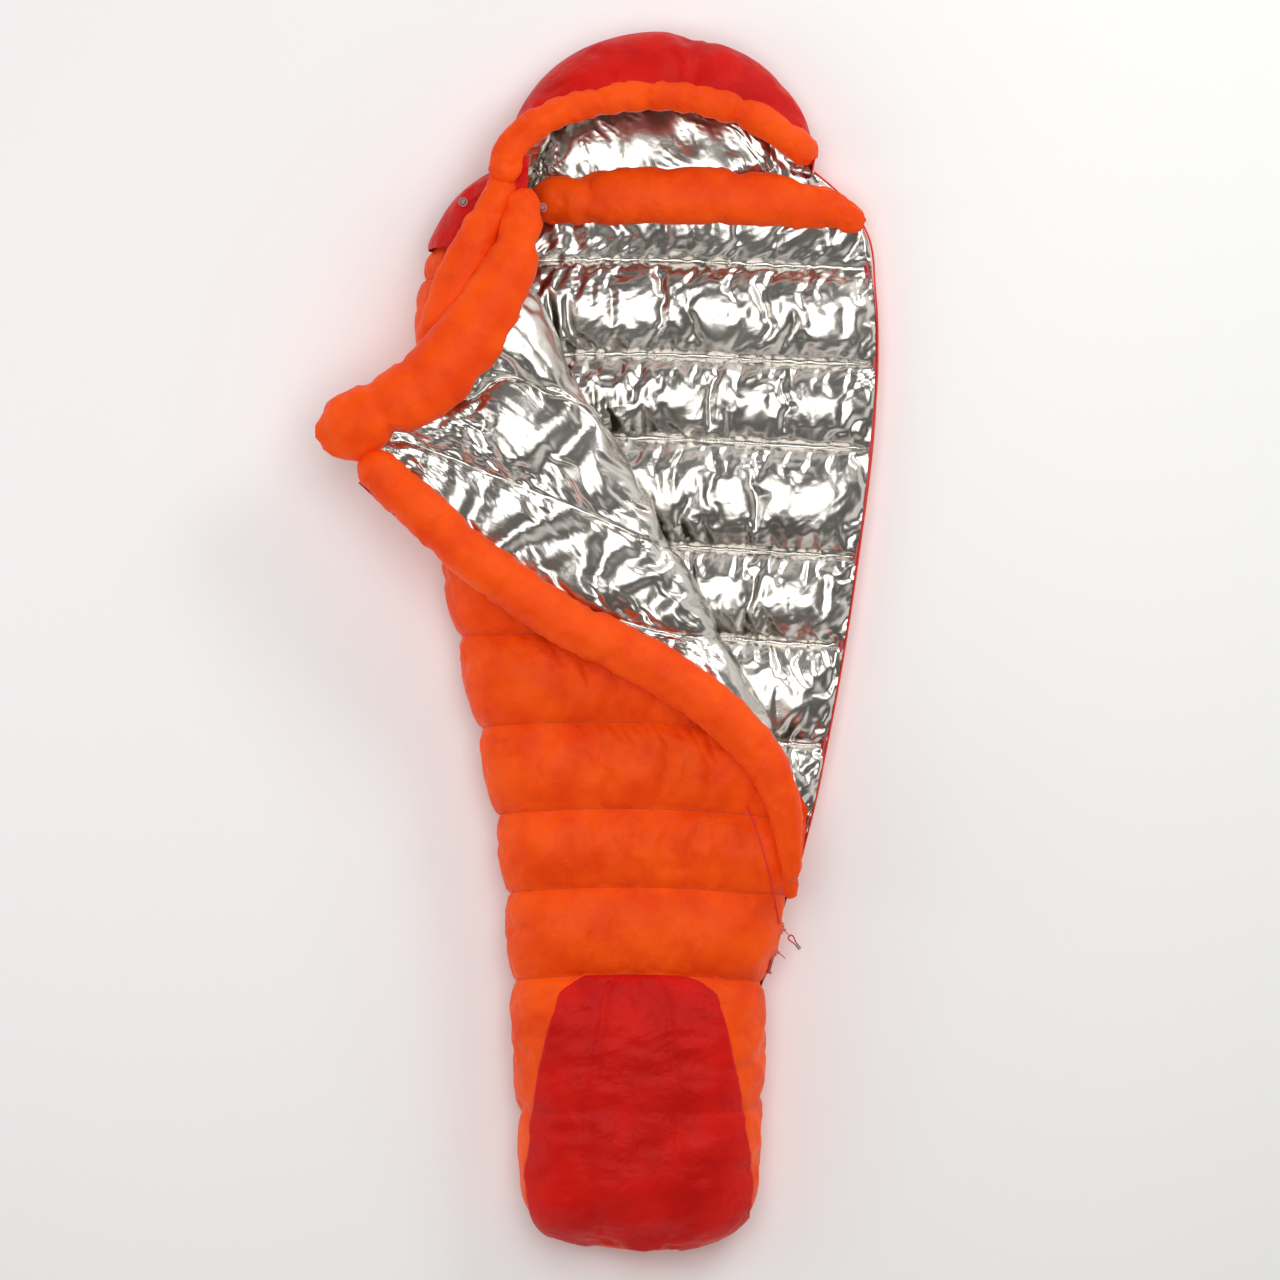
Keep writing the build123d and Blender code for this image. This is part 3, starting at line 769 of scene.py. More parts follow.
def swell(grid, rows, seams, nip, width, ripple, wavelength, seed, pressure, slack, cap, weak=(), **more):
    """Nips a panel in at its seams, gathers it there and swells it between them."""
    normals = grid_normals(grid)
    depth = seam_depth(rows, seams, width)
    if len(weak):
        depth = depth + 0.4 * seam_depth(rows, weak, width)
    along = distances_across(grid)
    gather = ripples(rows[:, None] + 0 * along, along, list(seams), wavelength, 0.020, seed)
    grid = grid + normals * (ripple * gather - nip * depth[:, None])[..., None]
    pinned = pinned_edges(grid, near_seam(rows, seams))
    return inflate(grid, pinned, pressure, slack, cap, seed=seed, **more)


def crimp(grid, rows, seams, depth, heading, seed, spread=0.045, floor=0.25, width=0.0105):
    """A denser copy of a quilted grid with fine folds in it, deepest beside its seams."""
    fine = denser(grid)
    places = np.interp(np.arange(len(fine)) / 2, np.arange(len(rows)), rows)
    along = distances_across(fine)
    across = np.concatenate([[0], np.cumsum(np.abs(np.diff(places)))])[:, None] + 0 * along
    gap = np.min(np.abs(np.subtract.outer(places, np.array(seams))), axis=1)
    share = (floor + (1 - floor) * np.exp(-gap / spread)) * (1 - np.exp(-gap / 0.0015))
    fold = creases(along, across, heading, seed, width=width)
    fine_fold = creases(along, across, heading - 35, seed + 9, 0.034, 0.0085)
    return fine + grid_normals(fine) * (depth * (fold + 0.6 * fine_fold) * share[:, None])[..., None]


def stitches(name, grid, lines, material, body="root", pitch=0.0062, stitch=0.0042, thick=0.00045,
             lift=0.0009):
    """Rows of small thread stitches that lie on a cloth along some of its grid's rows."""
    normals = grid_normals(grid)
    points, faces = [], []
    for row in lines:
        line, out = grid[row], normals[row]
        steps = distances(line)
        for start in np.arange(0.004, steps[-1] - pitch, pitch):
            ends = points_at([start, start + stitch], steps, line)
            up = unit(np.array([np.interp(start, steps, out[:, k]) for k in range(3)]))
            way = unit(ends[1] - ends[0])
            side = np.cross(up, way)
            first = len(points)
            for end in ends:
                for a, b in ((1, 0), (0, 1), (-1, 0), (0, -1)):
                    points.append(end + up * (lift + thick * b) + side * thick * a)
            for k in range(4):
                after = (k + 1) % 4
                faces.append((first + k, first + 4 + k, first + 4 + after, first + after))
            faces.append((first, first + 1, first + 2, first + 3))
            faces.append((first + 7, first + 6, first + 5, first + 4))
    thread = new_object(name, points, faces)
    finish_piece(thread, body, material, smooth=0)


def front_shell():
    """The orange shell over the closed foot, the left side and the part of the front that stays put."""
    columns = 92
    rows = np.r_[foot_stations(16), stations(FOOT_START, FRONT_TOP_Y, 0.0082, FRONT_SEAMS)]
    seams = FRONT_SEAMS + [FRONT_TOP_Y]
    grid = np.stack([front_section(y, columns) for y in rows])
    grid[:, :, 1] += bow(rows, columns, FOOT_START, 0.10, SEAM_ARCH)
    swollen = swell(grid, rows, seams, SHELL_NIP, 0.024, 0.0022, 0.030, 3, 2.2, 0.035, 0.022, weak=[-0.840])
    cloth = crimp(swollen, rows, seams, 0.0024, 66, 201, 0.030, 0.15)
    # the shell stops just before the fold's axis, so that it does not show through the roll
    past = np.clip((cloth[:, :, :2] - FOLD_POINT[:2]) @ FOLD_ACROSS[:2] + SHELL_BEFORE_AXIS, 0, None)
    cloth[:, :, :2] -= past[..., None] * FOLD_ACROSS[:2]
    shell = from_grid("front_shell_skin", cloth)
    finish_piece(shell, "root", ORANGE,
                 ["front_shell", "side_wall_left", "side_wall_right", "foot_wall", "front_baffle_walls"]
                 + nodes_named("front_down"), smooth=0)
    stitches("front_shell_stitching", cloth, [2 * i for i in np.flatnonzero(near_seam(rows, FRONT_SEAMS))],
             RED_THREAD)
    return swollen


front_skin = front_shell()


def foot_patch():
    """The red patch over the toes, a second cloth that follows the shell just above it."""
    left_edge = profile([(-1.075, -0.055), (-1.035, -0.104), (-0.972, -0.127), (-0.866, -0.122),
                         (-0.743, -0.104), (-0.650, -0.078), (-0.612, -0.060), (-0.590, -0.020)])
    right_edge = profile([(-1.075, 0.215), (-1.043, 0.249), (-0.972, 0.270), (-0.866, 0.260), (-0.743, 0.240),
                          (-0.650, 0.216), (-0.612, 0.196), (-0.590, 0.150)])
    normals = grid_normals(front_skin)
    columns = 54
    lines = []
    for row, normal in zip(front_skin[2:], normals[2:]):
        middle_y = float(np.interp(0.07, row[30:, 0], row[30:, 1]))
        if middle_y > -0.588:
            break
        upper = np.flatnonzero(row[:, 2] > 0.5 * row[:, 2].max())
        bounds = []
        for edge in (left_edge, right_edge):
            past = row[upper, 0] - edge(row[upper, 1])
            after = len(upper) - 1
            if (past > 0).any():
                after = int(np.clip(np.argmax(past > 0), 1, len(upper) - 1))
            part = -past[after - 1] / (past[after] - past[after - 1])
            bounds.append(upper[after - 1] + float(np.clip(part, 0, 1)))
        places = np.linspace(bounds[0], bounds[1], columns)
        index = np.arange(len(row))
        lines.append((points_at(places, index, row), unit(points_at(places, index, normal))))
    grid = np.stack([point for point, out in lines])
    out = np.stack([out for point, out in lines])
    height = np.full(grid.shape[:2], 0.0064)
    for line in (0.30, 0.68):                               # two faint lines of quilting run down the patch
        share = np.abs(np.linspace(0, 1, columns) - line)[None, :] * 0.34
        height -= 0.0030 * np.exp(-((share / 0.009) ** 2))
    height += (0.0026 * noise_field(height.shape, (2.6, 10), 41)
               + 0.0014 * noise_field(height.shape, (1.8, 5), 42))
    for edge in (np.s_[0], np.s_[-1], np.s_[:, 0], np.s_[:, -1]):
        height[edge] = -0.0010
    grid = grid + out * height[..., None]
    places = distances(grid[:, columns // 2])
    cloth = crimp(grid, places, [places[0], places[-1]], 0.0018, 12, 241, 0.30, 0.5)
    patch = from_grid("foot_patch_cloth", cloth)
    finish_piece(patch, "root", RED, ["foot_patch"], smooth=0)


foot_patch()


def back_section(y, columns):
    """The underside's line at one station: from under the left side, along the ground and up to the zip."""
    share, left, right = outline(y)
    closed = ease_in_out(float(np.clip((-0.44 - y) / 0.08, 0, 1)))
    top = 0.049 * (1 - closed) + (MIDDLE_Z + 0.002) * closed
    reach = min(0.045 * (1 - closed) + SIDE_REACH * closed, (right - left) * 0.45)
    angles = np.linspace(-math.pi / 2, 0, 24)
    rx, rz = side_arc(angles, reach, 1.0)
    end = right - 0.0055 * (1 - closed) - 0.012 * closed * float(np.clip((-0.60 - y) / 0.05, 0, 1))
    rim = 0.004 * (1 - closed)
    x = np.r_[np.linspace(left + 0.022, end - reach, 40, endpoint=False), end - reach + rx]
    z = np.r_[0.012 * np.linspace(1, 0, 40) ** 3, top + rz * top]
    x[-3:] -= rim * np.array([0.2, 0.6, 1.0])
    x = MIDDLE_X + (x - MIDDLE_X) * (1 - 0.06 * (1 - share))
    z = MIDDLE_Z + (z - MIDDLE_Z) * share
    return evenly(np.stack([x, np.full(len(x), y), z], 1), columns)


def back_shell():
    """The orange shell underneath, which lies on the ground and turns up to the zip."""
    columns = 84
    rows = np.r_[foot_stations(12), stations(FOOT_START, 0.850, 0.0105, BACK_SEAMS)]
    grid = np.stack([back_section(y, columns) for y in rows])
    normals = -grid_normals(grid)
    along = grid[:, :, 0]
    gather = ripples(rows[:, None] + 0 * along, along, BACK_SEAMS, 0.036, 0.035, 11)
    depth = seam_depth(rows, BACK_SEAMS, 0.028)[:, None]
    grid = grid - normals * (0.008 * depth - 0.0012 * gather - 0.0010)[..., None]
    grid[:, :, 2] = np.maximum(grid[:, :, 2], 0.0003)
    shell = from_grid("back_shell_skin", grid, flip=True)
    finish_piece(shell, "root", ORANGE,
                 ["back_shell", "back_baffle_walls"] + nodes_named("back_down"))


back_shell()


# ---------------------------------------------------------------- the linings of the two panels

def back_lining():
    """The bright quilted lining that the sleeper lies on, from under the hood to under the closed foot."""
    columns = 104
    rows = stations(-0.560, 0.900, 0.0072, BACK_SEAMS)
    share = np.linspace(0, 1, columns)
    left = left_at(rows) + 0.075
    right = right_at(rows) - 0.0095 - np.clip(rows - NECK_Y, 0, 1) * 1.1
    x = left[:, None] + (right - left)[:, None] * share
    inset = right[:, None] - x
    edge = 1 - np.exp(-inset / 0.026)
    puff = puffs(rows, BACK_SEAMS + [-1.075, 1.0])[:, None]
    z = LINING_Z + 0.0062 - 0.009 * (1 - np.exp(-inset / 0.02)) + 0.018 * puff * edge + 0 * x
    below_neck = np.clip((0.75 - rows) / 0.1, 0, 1)[:, None]
    y = rows[:, None] + 0.010 * np.sin(share * math.pi * 1.4)[None, :] * below_neck
    grid = np.stack([x, y, z], 2)
    swollen = swell(grid, rows, BACK_SEAMS, 0.004, 0.016, 0.0030, 0.036, 21, 2.4, 0.055, 0.024,
                    bending=0.08, ease=1)
    swollen[:, :, 2] = np.maximum(swollen[:, :, 2], LINING_Z - 0.012)
    cloth = crimp(swollen, rows, BACK_SEAMS, 0.0030, 38, 211, 0.045, 0.30)
    lining = from_grid("back_lining_cloth", cloth)
    finish_piece(lining, "root", SILVER, ["back_lining"], smooth=0)
    stitches("back_lining_stitching", cloth, [2 * i for i in np.flatnonzero(near_seam(rows, BACK_SEAMS))],
             THREAD)


back_lining()


def front_lining():
    """The lining under the front panel, which shows inside the open bag."""
    columns = 50
    rows = stations(-0.94, 0.640, 0.013, FRONT_SEAMS)
    left = left_at(rows) + 0.060
    right = np.minimum(np.array([crease_x(y) for y in rows]) - LINING_INSET, right_at(rows) - 0.060)
    share = np.linspace(0, 1, columns)
    x = left[:, None] + (right - left)[:, None] * share
    rim = np.minimum(share, 1 - share)[None, :] * (right - left)[:, None]
    z = CAVITY_TOP + 0.004 - 0.012 * puffs(rows, FRONT_SEAMS + [-1.0])[:, None] * (1 - np.exp(-rim / 0.03))
    z = z - 0.045 * np.exp(-(np.abs(x - left[:, None]) / 0.045) ** 2)
    z += 0.0022 * ripples(rows[:, None] + 0 * x, x, FRONT_SEAMS, 0.045, 0.035, 31)
    grid = np.stack([x, rows[:, None] + 0 * x, z], 2)
    lining = from_grid("front_lining_cloth", grid, flip=True)
    finish_piece(lining, "root", SILVER, ["front_lining"])


front_lining()


# ---------------------------------------------------------------- the folded flap

ROLL_RADIUS = 0.045
STRIP_HEIGHTS = (0.1685, 0.1520)
STRIP_BEFORE_AXIS = 0.0095
# Distances down the fold, for places ever further across it: the flap's top and bottom edges and its seams.
FLAP_LINES = [
    [(-0.40, 0.036), (-0.30, 0.034), (-0.230, 0.030), (-0.084, -0.042), (0.0, -0.075)],
    [(-0.40, 0.044), (-0.30, 0.066), (-0.185, 0.091), (-0.089, 0.108), (-0.064, 0.146), (-0.028, 0.187),
     (0.0, 0.255)],
    [(-0.40, 0.054), (-0.327, 0.100), (-0.232, 0.207), (-0.166, 0.288), (-0.070, 0.407), (0.0, 0.500)],
    [(-0.40, 0.080), (-0.317, 0.310), (-0.191, 0.500), (-0.086, 0.612), (-0.015, 0.661), (0.0, 0.672)],
    [(-0.40, 0.100), (-0.317, 0.330), (-0.229, 0.513), (-0.095, 0.707), (-0.048, 0.825), (0.0, 0.890)],
]
flap_lines = [profile(points) for points in FLAP_LINES]


def flap_lining():
    """The bright lining of the flap and the fold, from inside the front panel to the flap's edges."""
    turn = np.linspace(-math.pi / 2, math.pi / 2, 20)[1:-1]
    roll_x = -CREASE_TO_AXIS + ROLL_RADIUS * np.cos(turn)
    roll_z = 0.157 + ROLL_RADIUS * np.sin(turn)
    flat_x = np.linspace(-CREASE_TO_AXIS, -0.395, 48)
    across = np.r_[np.linspace(-0.095, -CREASE_TO_AXIS, 7), roll_x, flat_x]
    height = np.r_[np.full(7, 0.112), roll_z, np.full(48, 0.202)]
    where = np.r_[np.full(7, roll_x.max()), np.where(turn < 0, roll_x.max(), roll_x), flat_x]
    lines = [line(where) for line in flap_lines]
    shares = []
    for number, count in enumerate((22, 34, 30, 32)):
        shares.extend(number + t for t in np.linspace(0, 1, count, endpoint=False))
    shares = np.array(shares + [4.0])
    index = np.minimum(shares.astype(int), 3)
    part = shares - index
    stack = np.stack(lines)
    along = stack[index] * (1 - part)[:, None] + stack[index + 1] * part[:, None]
    grid = fold_frame(along, np.broadcast_to(across, along.shape), np.broadcast_to(height, along.shape))
    grid[:, :, 2] -= 0.010 * np.clip((-across - 0.22) / 0.18, 0, 1)[None, :] ** 2
    normals = grid_normals(grid)
    order = 1
    if normals[60, 50, 2] < 0:
        order = -1
        grid = grid[:, ::-1]
        normals = grid_normals(grid)
    seams = [1.0, 2.0, 3.0]
    size = 0.16
    place = shares[:, None] * size + 0 * along
    run = distances_across(grid)
    gather = ripples(place, run, [s * size for s in seams], 0.040, 0.025, 51)
    depth = seam_depth(shares * size, [s * size for s in seams], 0.018)[:, None]
    puff = puffs(shares, [0.0, 1.0, 2.0, 3.0, 4.0])[:, None]
    flat = np.clip((-where - 0.03) / 0.03, 0, 1)[None, ::order]
    grid = grid + normals * (0.0028 * gather - 0.004 * depth * flat + 0.010 * puff)[..., None]
    pinned = pinned_edges(grid, np.isin(shares, seams))
    swollen = inflate(grid, pinned, 2.2, 0.050, 0.024, seed=52, bending=0.08, ease=1)
    cloth = crimp(swollen, shares * size, [mark * size for mark in seams], 0.0030, 118, 221, 0.050, 0.30)
    lining = from_grid("flap_lining_cloth", cloth)
    finish_piece(lining, None, SILVER, ["flap_lining", "fold_roll"], smooth=0)
    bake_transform(lining)


flap_lining()


def crease_strip():
    """The shell where it turns over inside the fold, which joins the front panel to the flap as it closes."""
    along = np.linspace(-0.010, 0.862, 124)[:, None]
    height = np.linspace(*STRIP_HEIGHTS, 8)[None, :]
    across = -STRIP_BEFORE_AXIS - 0.0006 * np.sin(along * 300)
    grid = fold_frame(along + 0 * height, across + 0 * height, height + 0 * along)
    strip = from_grid("crease_strip", grid)
    finish_piece(strip, None, ORANGE)
    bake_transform(strip)


crease_strip()


def flap_shell():
    """The flap's shell, underneath while the flap is folded back and on top once it is closed."""
    across = np.linspace(-0.009, -0.392, 54)
    share = np.linspace(0, 1, 108)
    top, bottom = flap_lines[0](across), flap_lines[4](across)
    # away from the fold it reaches on to the zip, which is under the draft tube
    bottom = bottom + 0.072 * np.clip((-across - 0.045) / 0.03, 0, 1)
    along = top[None, :] + (bottom - top)[None, :] * share[:, None]
    sideways = np.broadcast_to(across, along.shape)
    closed_y = FOLD_POINT[1] + along * FOLD_ALONG[1] - sideways * FOLD_ACROSS[1]
    closed_x = FOLD_POINT[0] + along * FOLD_ALONG[0] - sideways * FOLD_ACROSS[0]
    seams = [0.640, 0.499, 0.350, 0.159, 0.0]
    puff = puffs(closed_y, seams + [0.80, -0.15])
    gather = ripples(closed_y, closed_x, seams, 0.040, 0.030, 61)
    rim = np.exp(-((np.minimum(share, 1 - share) * 0.5 / 0.02) ** 2))[:, None]
    lip = np.exp(-((sideways + 0.009) / 0.016) ** 2)
    z = 0.1635 - (0.014 * puff * (1 - rim) + 0.0022 * gather) * (1 - lip) - 0.0105 * lip
    grid = fold_frame(along, sideways, z)
    shell = from_grid("flap_shell_skin", grid)
    if grid_normals(grid)[50, 24, 2] > 0:
        shell.data.flip_normals()
    finish_piece(shell, "flap", ORANGE, ["flap_shell", "flap_down", "flap_baffle_walls"])


flap_shell()


# ---------------------------------------------------------------- the stuffed rolls

def rolls():
    """The draft tube, the front collar with the roll outside it, and the back collar."""
    tube_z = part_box("draft_tube")[1][2] - 0.042
    tube = stuffed_roll(
        "draft_tube_cloth",
        [(-0.412, 0.322, tube_z - 0.004), (-0.340, 0.256, tube_z), (-0.225, 0.152, tube_z),
         (-0.060, 0.036, tube_z), (0.060, -0.030, tube_z), (0.146, -0.083, tube_z), (0.240, -0.161, tube_z),
         (0.287, -0.220, tube_z), (0.312, -0.270, tube_z), (0.328, -0.345, tube_z - 0.004),
         (0.336, -0.400, tube_z - 0.016), (0.336, -0.452, tube_z - 0.040)],
        [0.036, 0.040, 0.041, 0.042, 0.042, 0.043, 0.043, 0.042, 0.040, 0.034, 0.024, 0.012],
        [0.036, 0.038, 0.040, 0.041, 0.041, 0.041, 0.041, 0.040, 0.038, 0.032, 0.022, 0.011],
        0.0070, 0.05, 0.012, 71, ripple=0.0014, wavelength=0.030)
    finish_piece(tube, None, ORANGE, ["draft_tube", "draft_tube_end"], smooth=0)
    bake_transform(tube)

    collar_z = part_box("collar_front")[1][2] - 0.038
    collar = stuffed_roll(
        "collar_front_cloth",
        [(-0.128, 0.790, collar_z - 0.012), (-0.136, 0.735, collar_z - 0.006), (-0.150, 0.672, collar_z),
         (-0.186, 0.598, collar_z + 0.002), (-0.240, 0.515, collar_z + 0.004),
         (-0.300, 0.452, collar_z + 0.002), (-0.385, 0.400, collar_z), (-0.486, 0.344, collar_z)],
        [0.026, 0.042, 0.054, 0.064, 0.067, 0.064, 0.062, 0.058],
        [0.022, 0.032, 0.036, 0.038, 0.040, 0.039, 0.038, 0.036],
        0.0078, 0.06, 0.016, 81, ripple=0.0018, wavelength=0.034, squeeze=[(0.16, 0.10), (0.80, 0.12)])
    finish_piece(collar, None, ORANGE, ["collar_front", "collar_neck_end"],
                 smooth=0)
    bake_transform(collar)

    outer = stuffed_roll(
        "collar_outer_roll_cloth",
        [(-0.166, 0.822, 0.176), (-0.182, 0.760, 0.180), (-0.214, 0.694, 0.182), (-0.246, 0.628, 0.180),
         (-0.272, 0.560, 0.172), (-0.300, 0.500, 0.160)],
        [0.024, 0.034, 0.042, 0.044, 0.042, 0.026], [0.018, 0.026, 0.028, 0.028, 0.024, 0.016],
        0.0075, 0.06, 0.010, 91, ripple=0.0016, wavelength=0.030)
    finish_piece(outer, "root", ORANGE, ["collar_outer_roll"], smooth=0)

    low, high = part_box("collar_back")
    back = stuffed_roll(
        "collar_back_cloth",
        [(low[0] + 0.002, 0.776, 0.078), (-0.020, 0.781, 0.080), (0.100, 0.786, 0.081), (0.220, 0.784, 0.081),
         (0.340, 0.772, 0.079), (0.420, 0.756, 0.076), (high[0] + 0.014, 0.738, 0.070)],
        [0.040, 0.052, 0.056, 0.056, 0.053, 0.044, 0.022], [0.024, 0.028, 0.030, 0.030, 0.028, 0.024, 0.014],
        0.0070, 0.08, 0.014, 101, ripple=0.0022, wavelength=0.032)
    finish_piece(back, "root", ORANGE, ["collar_back"], smooth=0)


rolls()


# ---------------------------------------------------------------- the hood

HOOD_MIDDLE = np.array([0.110, 0.838])
HOOD_REACH = np.array([0.267, 0.237])
FACE_POINTS = [(-0.170, 0.800, 0.190), (-0.150, 0.862, 0.186), (-0.080, 0.917, 0.176), (0.010, 0.944, 0.164),
               (0.110, 0.953, 0.151), (0.205, 0.943, 0.134), (0.300, 0.908, 0.112), (0.382, 0.850, 0.094)]


def face_line(share):
    """Points of the face opening's edge, from its right end (0) to its left end (1)."""
    line = curve(FACE_POINTS[::-1], 200)
    places = np.linspace(0, 1, 200)
    return points_at(share, places, line)


def hood():
    """The hood's shell, its lining with the gusset at its right end, and the tube round the face."""
    rows = 92
    share = np.linspace(0, 1, rows)
    share[np.argmin(np.abs(share - 0.40))] = 0.40
    turn = math.radians(-4) + share * math.radians(190)
    edge = face_line(share)
    outer = HOOD_MIDDLE + HOOD_REACH * np.stack([np.cos(turn), np.sin(turn)], 1)
    bend = np.linspace(math.radians(-68), math.radians(92), 44)
    out = np.sign(np.cos(bend)) * np.abs(np.cos(bend)) ** 0.85
    rise = np.sin(bend)
    grid = np.empty((rows, len(bend), 3))
    plan = edge[:, :2]
    grid[:, :, :2] = plan[:, None] + (outer - plan)[:, None] * out[None, :, None]
    middle = 0.066
    up = (edge[:, 2] + 0.012 - middle)[:, None]
    grid[:, :, 2] = middle + np.where(rise > 0, rise * up,
                                      rise * (middle - 0.001) / math.sin(math.radians(68)))
    if grid_normals(grid)[rows // 2, 30, 2] < 0:
        grid = grid[:, ::-1]
    seam = np.argmin(np.abs(share - 0.40))
    normals = grid_normals(grid)
    nip = np.exp(-(np.abs(np.arange(rows) - seam) / 1.6) ** 1.3)[:, None]
    wrinkle = noise_field(grid.shape[:2], (4, 9), 111) * 0.0022
    grid = grid + normals * (wrinkle - 0.0055 * nip)[..., None]
    pinned = pinned_edges(grid, seam)
    swollen = inflate(grid, pinned, 2.0, 0.035, 0.014, seed=112)
    swollen[:, :, 2] = np.maximum(swollen[:, :, 2], 0.0004)
    shell = from_grid("hood_shell_cloth", swollen)
    finish_piece(shell, "root", RED, ["hood_shell"])

    inner = HOOD_MIDDLE + (HOOD_REACH - 0.046) * np.stack([np.cos(turn), np.sin(turn)], 1)
    floor = np.stack([HOOD_MIDDLE[0] + (HOOD_REACH[0] - 0.030) * np.cos(turn), np.full(rows, 0.792)], 1)
    # 1 at both ends of the opening
    low_side = np.clip(np.abs(share - 0.5) * 2 - 0.72, 0, 1)[:, None] / 0.28
    inner = inner * (1 - 0.5 * low_side) + 0.5 * low_side * (0.5 * (edge[:, :2] + floor))
    columns = 70
    lining = np.empty((rows, columns, 3))
    for i in range(rows):
        stop = edge[i]
        points = [stop + [0, 0, -0.006], np.r_[stop[:2] * 0.75 + inner[i] * 0.25, stop[2] - 0.012],
                  np.r_[inner[i], 0.5 * (stop[2] + 0.048)], np.r_[inner[i] * 0.92 + floor[i] * 0.08, 0.048],
                  np.r_[inner[i] * 0.6 + floor[i] * 0.4, 0.060], np.r_[floor[i], 0.080]]
        lining[i] = curve(points, columns)
    if grid_normals(lining)[rows // 2, columns - 15, 2] < 0:
        lining = lining[:, ::-1]
    normals = grid_normals(lining)
    wrinkle = noise_field(lining.shape[:2], (5, 9), 121) * 0.005
    lining = lining + normals * wrinkle[..., None]
    pinned = pinned_edges(lining)
    swollen = inflate(lining, pinned, 1.6, 0.05, 0.020, seed=122, bending=0.10, ease=2)
    swollen[:, :, 2] = np.maximum(swollen[:, :, 2], 0.040)
    folded = crimp(swollen, share * 0.9, [0.0, 0.13, 0.77, 0.9], 0.0036, 60, 231, 0.16, 0.45)
    cloth = from_grid("hood_lining_cloth", folded)
    finish_piece(cloth, "root", SILVER, ["hood_lining"], smooth=0)

    near = np.linspace(0, 1, 34)[:, None]
    far = np.linspace(0, 1, 30)[None, :]
    corners = np.array([(0.262, 0.792, 0.078), (0.398, 0.800, 0.058), (0.270, 0.905, 0.060),
                        (0.352, 0.872, 0.082)])
    gusset = (corners[0] * ((1 - near) * (1 - far))[..., None] + corners[1] * (near * (1 - far))[..., None]
              + corners[2] * ((1 - near) * far)[..., None] + corners[3] * (near * far)[..., None])
    gusset[:, :, 2] += 0.007 * np.sin(near * math.pi) + noise_field(gusset.shape[:2], (4, 6), 141) * 0.004
    cloth = from_grid("hood_side_gusset_cloth", gusset, flip=grid_normals(gusset)[17, 15, 2] < 0)
    finish_piece(cloth, "root", SILVER)

    tube = stuffed_roll(
        "hood_face_tube_cloth", [tuple(p) for p in face_line(np.linspace(0, 1, 12))],
        [0.026, 0.027, 0.027, 0.026, 0.026, 0.028, 0.028], [0.026, 0.027, 0.027, 0.026, 0.025, 0.025, 0.024],
        0.0062, 0.07, 0.010, 131, ripple=0.0026, wavelength=0.022,
        squeeze=[(0.12, 0.10), (0.24, 0.13), (0.36, 0.12), (0.43, 0.10), (0.50, 0.13), (0.63, 0.12),
                 (0.78, 0.10)])
    finish_piece(tube, "root", ORANGE, ["hood_face_tube"], smooth=0)


hood()


HOOD_LOCK_Y = 0.768


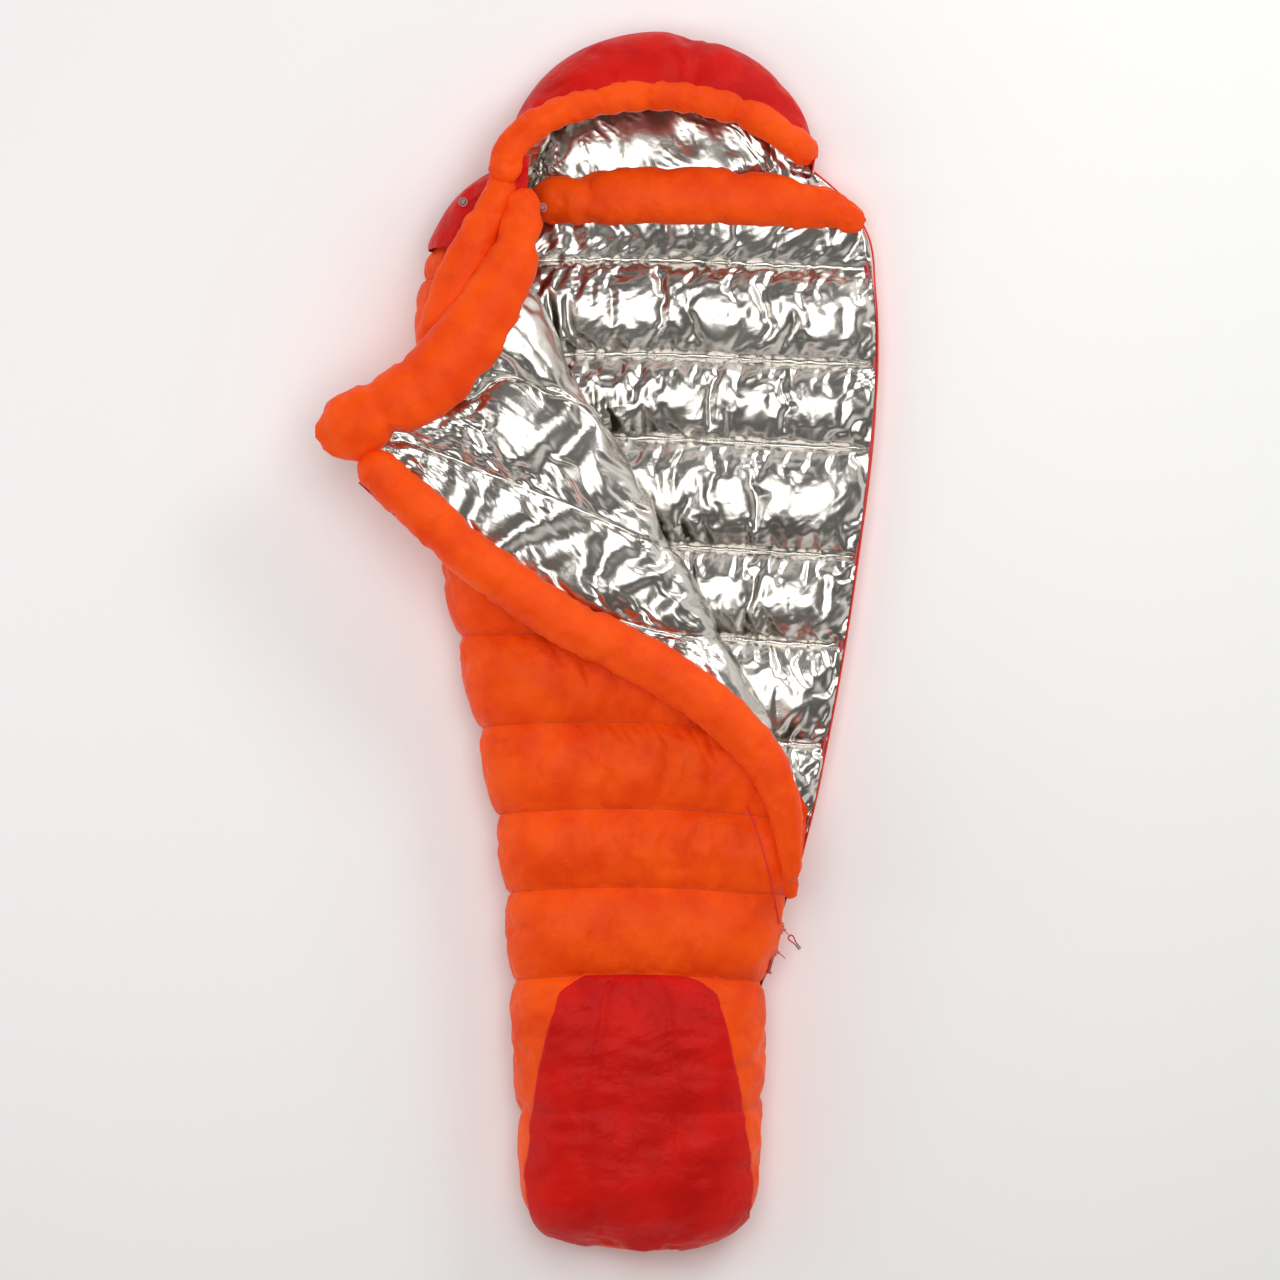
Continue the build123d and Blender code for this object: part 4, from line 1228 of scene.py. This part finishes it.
def shoulder_yoke():
    """The red yoke that carries the hood over the left shoulder."""
    rows = np.linspace(0.690, 0.850, 30)
    inner_x = profile([(0.690, -0.180), (0.72, -0.150), (0.850, -0.120)])(rows)
    grid = []
    for y, end_x in zip(rows, inner_x):
        left = float(left_at(y)) - 0.002
        reach = min(0.070, (end_x - left) * 0.6)
        reach *= 1 - 0.74 * math.exp(-((y - HOOD_LOCK_Y) / 0.028) ** 2)  # squarer beside the cord lock
        lx, lz = side_arc(np.linspace(math.radians(222), math.radians(90), 40), reach, 1.0)
        lz = np.where(lz > 0, lz * 0.106, lz * 0.066)
        x = np.r_[left + reach + lx, np.linspace(left + reach, end_x, 20)[1:]]
        z = np.r_[0.068 + lz, np.full(19, 0.174)]
        grid.append(evenly(np.stack([x, np.full(len(x), y), z], 1), 40))
    grid = np.stack(grid)
    swollen = swell(grid, rows, [rows[-1]], 0.0, 0.02, 0.002, 0.04, 141, 2.4, 0.05, 0.012)
    swollen[:, :, 2] = np.maximum(swollen[:, :, 2], 0.0004)
    yoke = from_grid("shoulder_yoke_cloth", swollen)
    finish_piece(yoke, "root", RED, ["shoulder_yoke_left"])


shoulder_yoke()


def edge_binding():
    """The thin binding that closes the shell's edge beside the open zip, up to the hood."""
    ys = np.linspace(-0.455, 0.832, 240)
    line = np.stack([right_at(ys) - 0.0052, ys, np.full(len(ys), 0.0525)], 1)
    line[:, 2] += 0.0006 * np.sin(ys * 61) + 0.0005 * np.sin(ys * 143)
    size = np.full(len(ys), 0.0019)
    binding = from_grid("zip_edge_binding", rolled(line, size, size, 8), closed=True, cap=True)
    finish_piece(binding, "root", BINDING)


edge_binding()


def front_zip_line():
    """The thin red line of the zip where it leaves the slider along the front panel."""
    line_x = profile([(-0.500, 0.319), (-0.467, 0.312), (-0.400, 0.296), (-0.338, 0.277), (-0.270, 0.250)])
    normals = grid_normals(front_skin)
    points = []
    for row, out in zip(front_skin, normals):
        y = float(np.interp(0.30, row[40:, 0], row[40:, 1]))
        if -0.497 < y < -0.290:
            x = float(line_x(y))
            after = int(np.argmax(row[:, 0] > x))
            part = (x - row[after - 1, 0]) / (row[after, 0] - row[after - 1, 0])
            points.append(row[after - 1] * (1 - part) + row[after] * part + out[after] * 0.0012)
    line = evenly(np.array(points), 90)
    size = np.full(len(line), 0.0018)
    zip_line = from_grid("front_zip_line", rolled(line, size, size, 8), closed=True, cap=True)
    finish_piece(zip_line, "root", BINDING)


front_zip_line()


# ---------------------------------------------------------------- the hard parts and zip, as in the CAD

# (the start of a node's name, its material): the first start that fits counts
NODE_FINISH = [("zip_tape", TAPE), ("zip_coil", COIL), ("zip_bottom_stop", METAL), ("slider_", METAL),
               ("pull_upper_grip", GRIP), ("pull_upper_tab", METAL), ("pull_lower_tab", METAL),
               ("collar_lock_spring", STEEL), ("hood_lock_spring", STEEL), ("collar_lock", DARK_RED),
               ("hood_lock", MAROON)]
for name, node in frame["nodes"].items():
    for start, material in NODE_FINISH:
        if name.startswith(start):
            node.data.materials.clear()
            node.data.materials.append(material)
            break
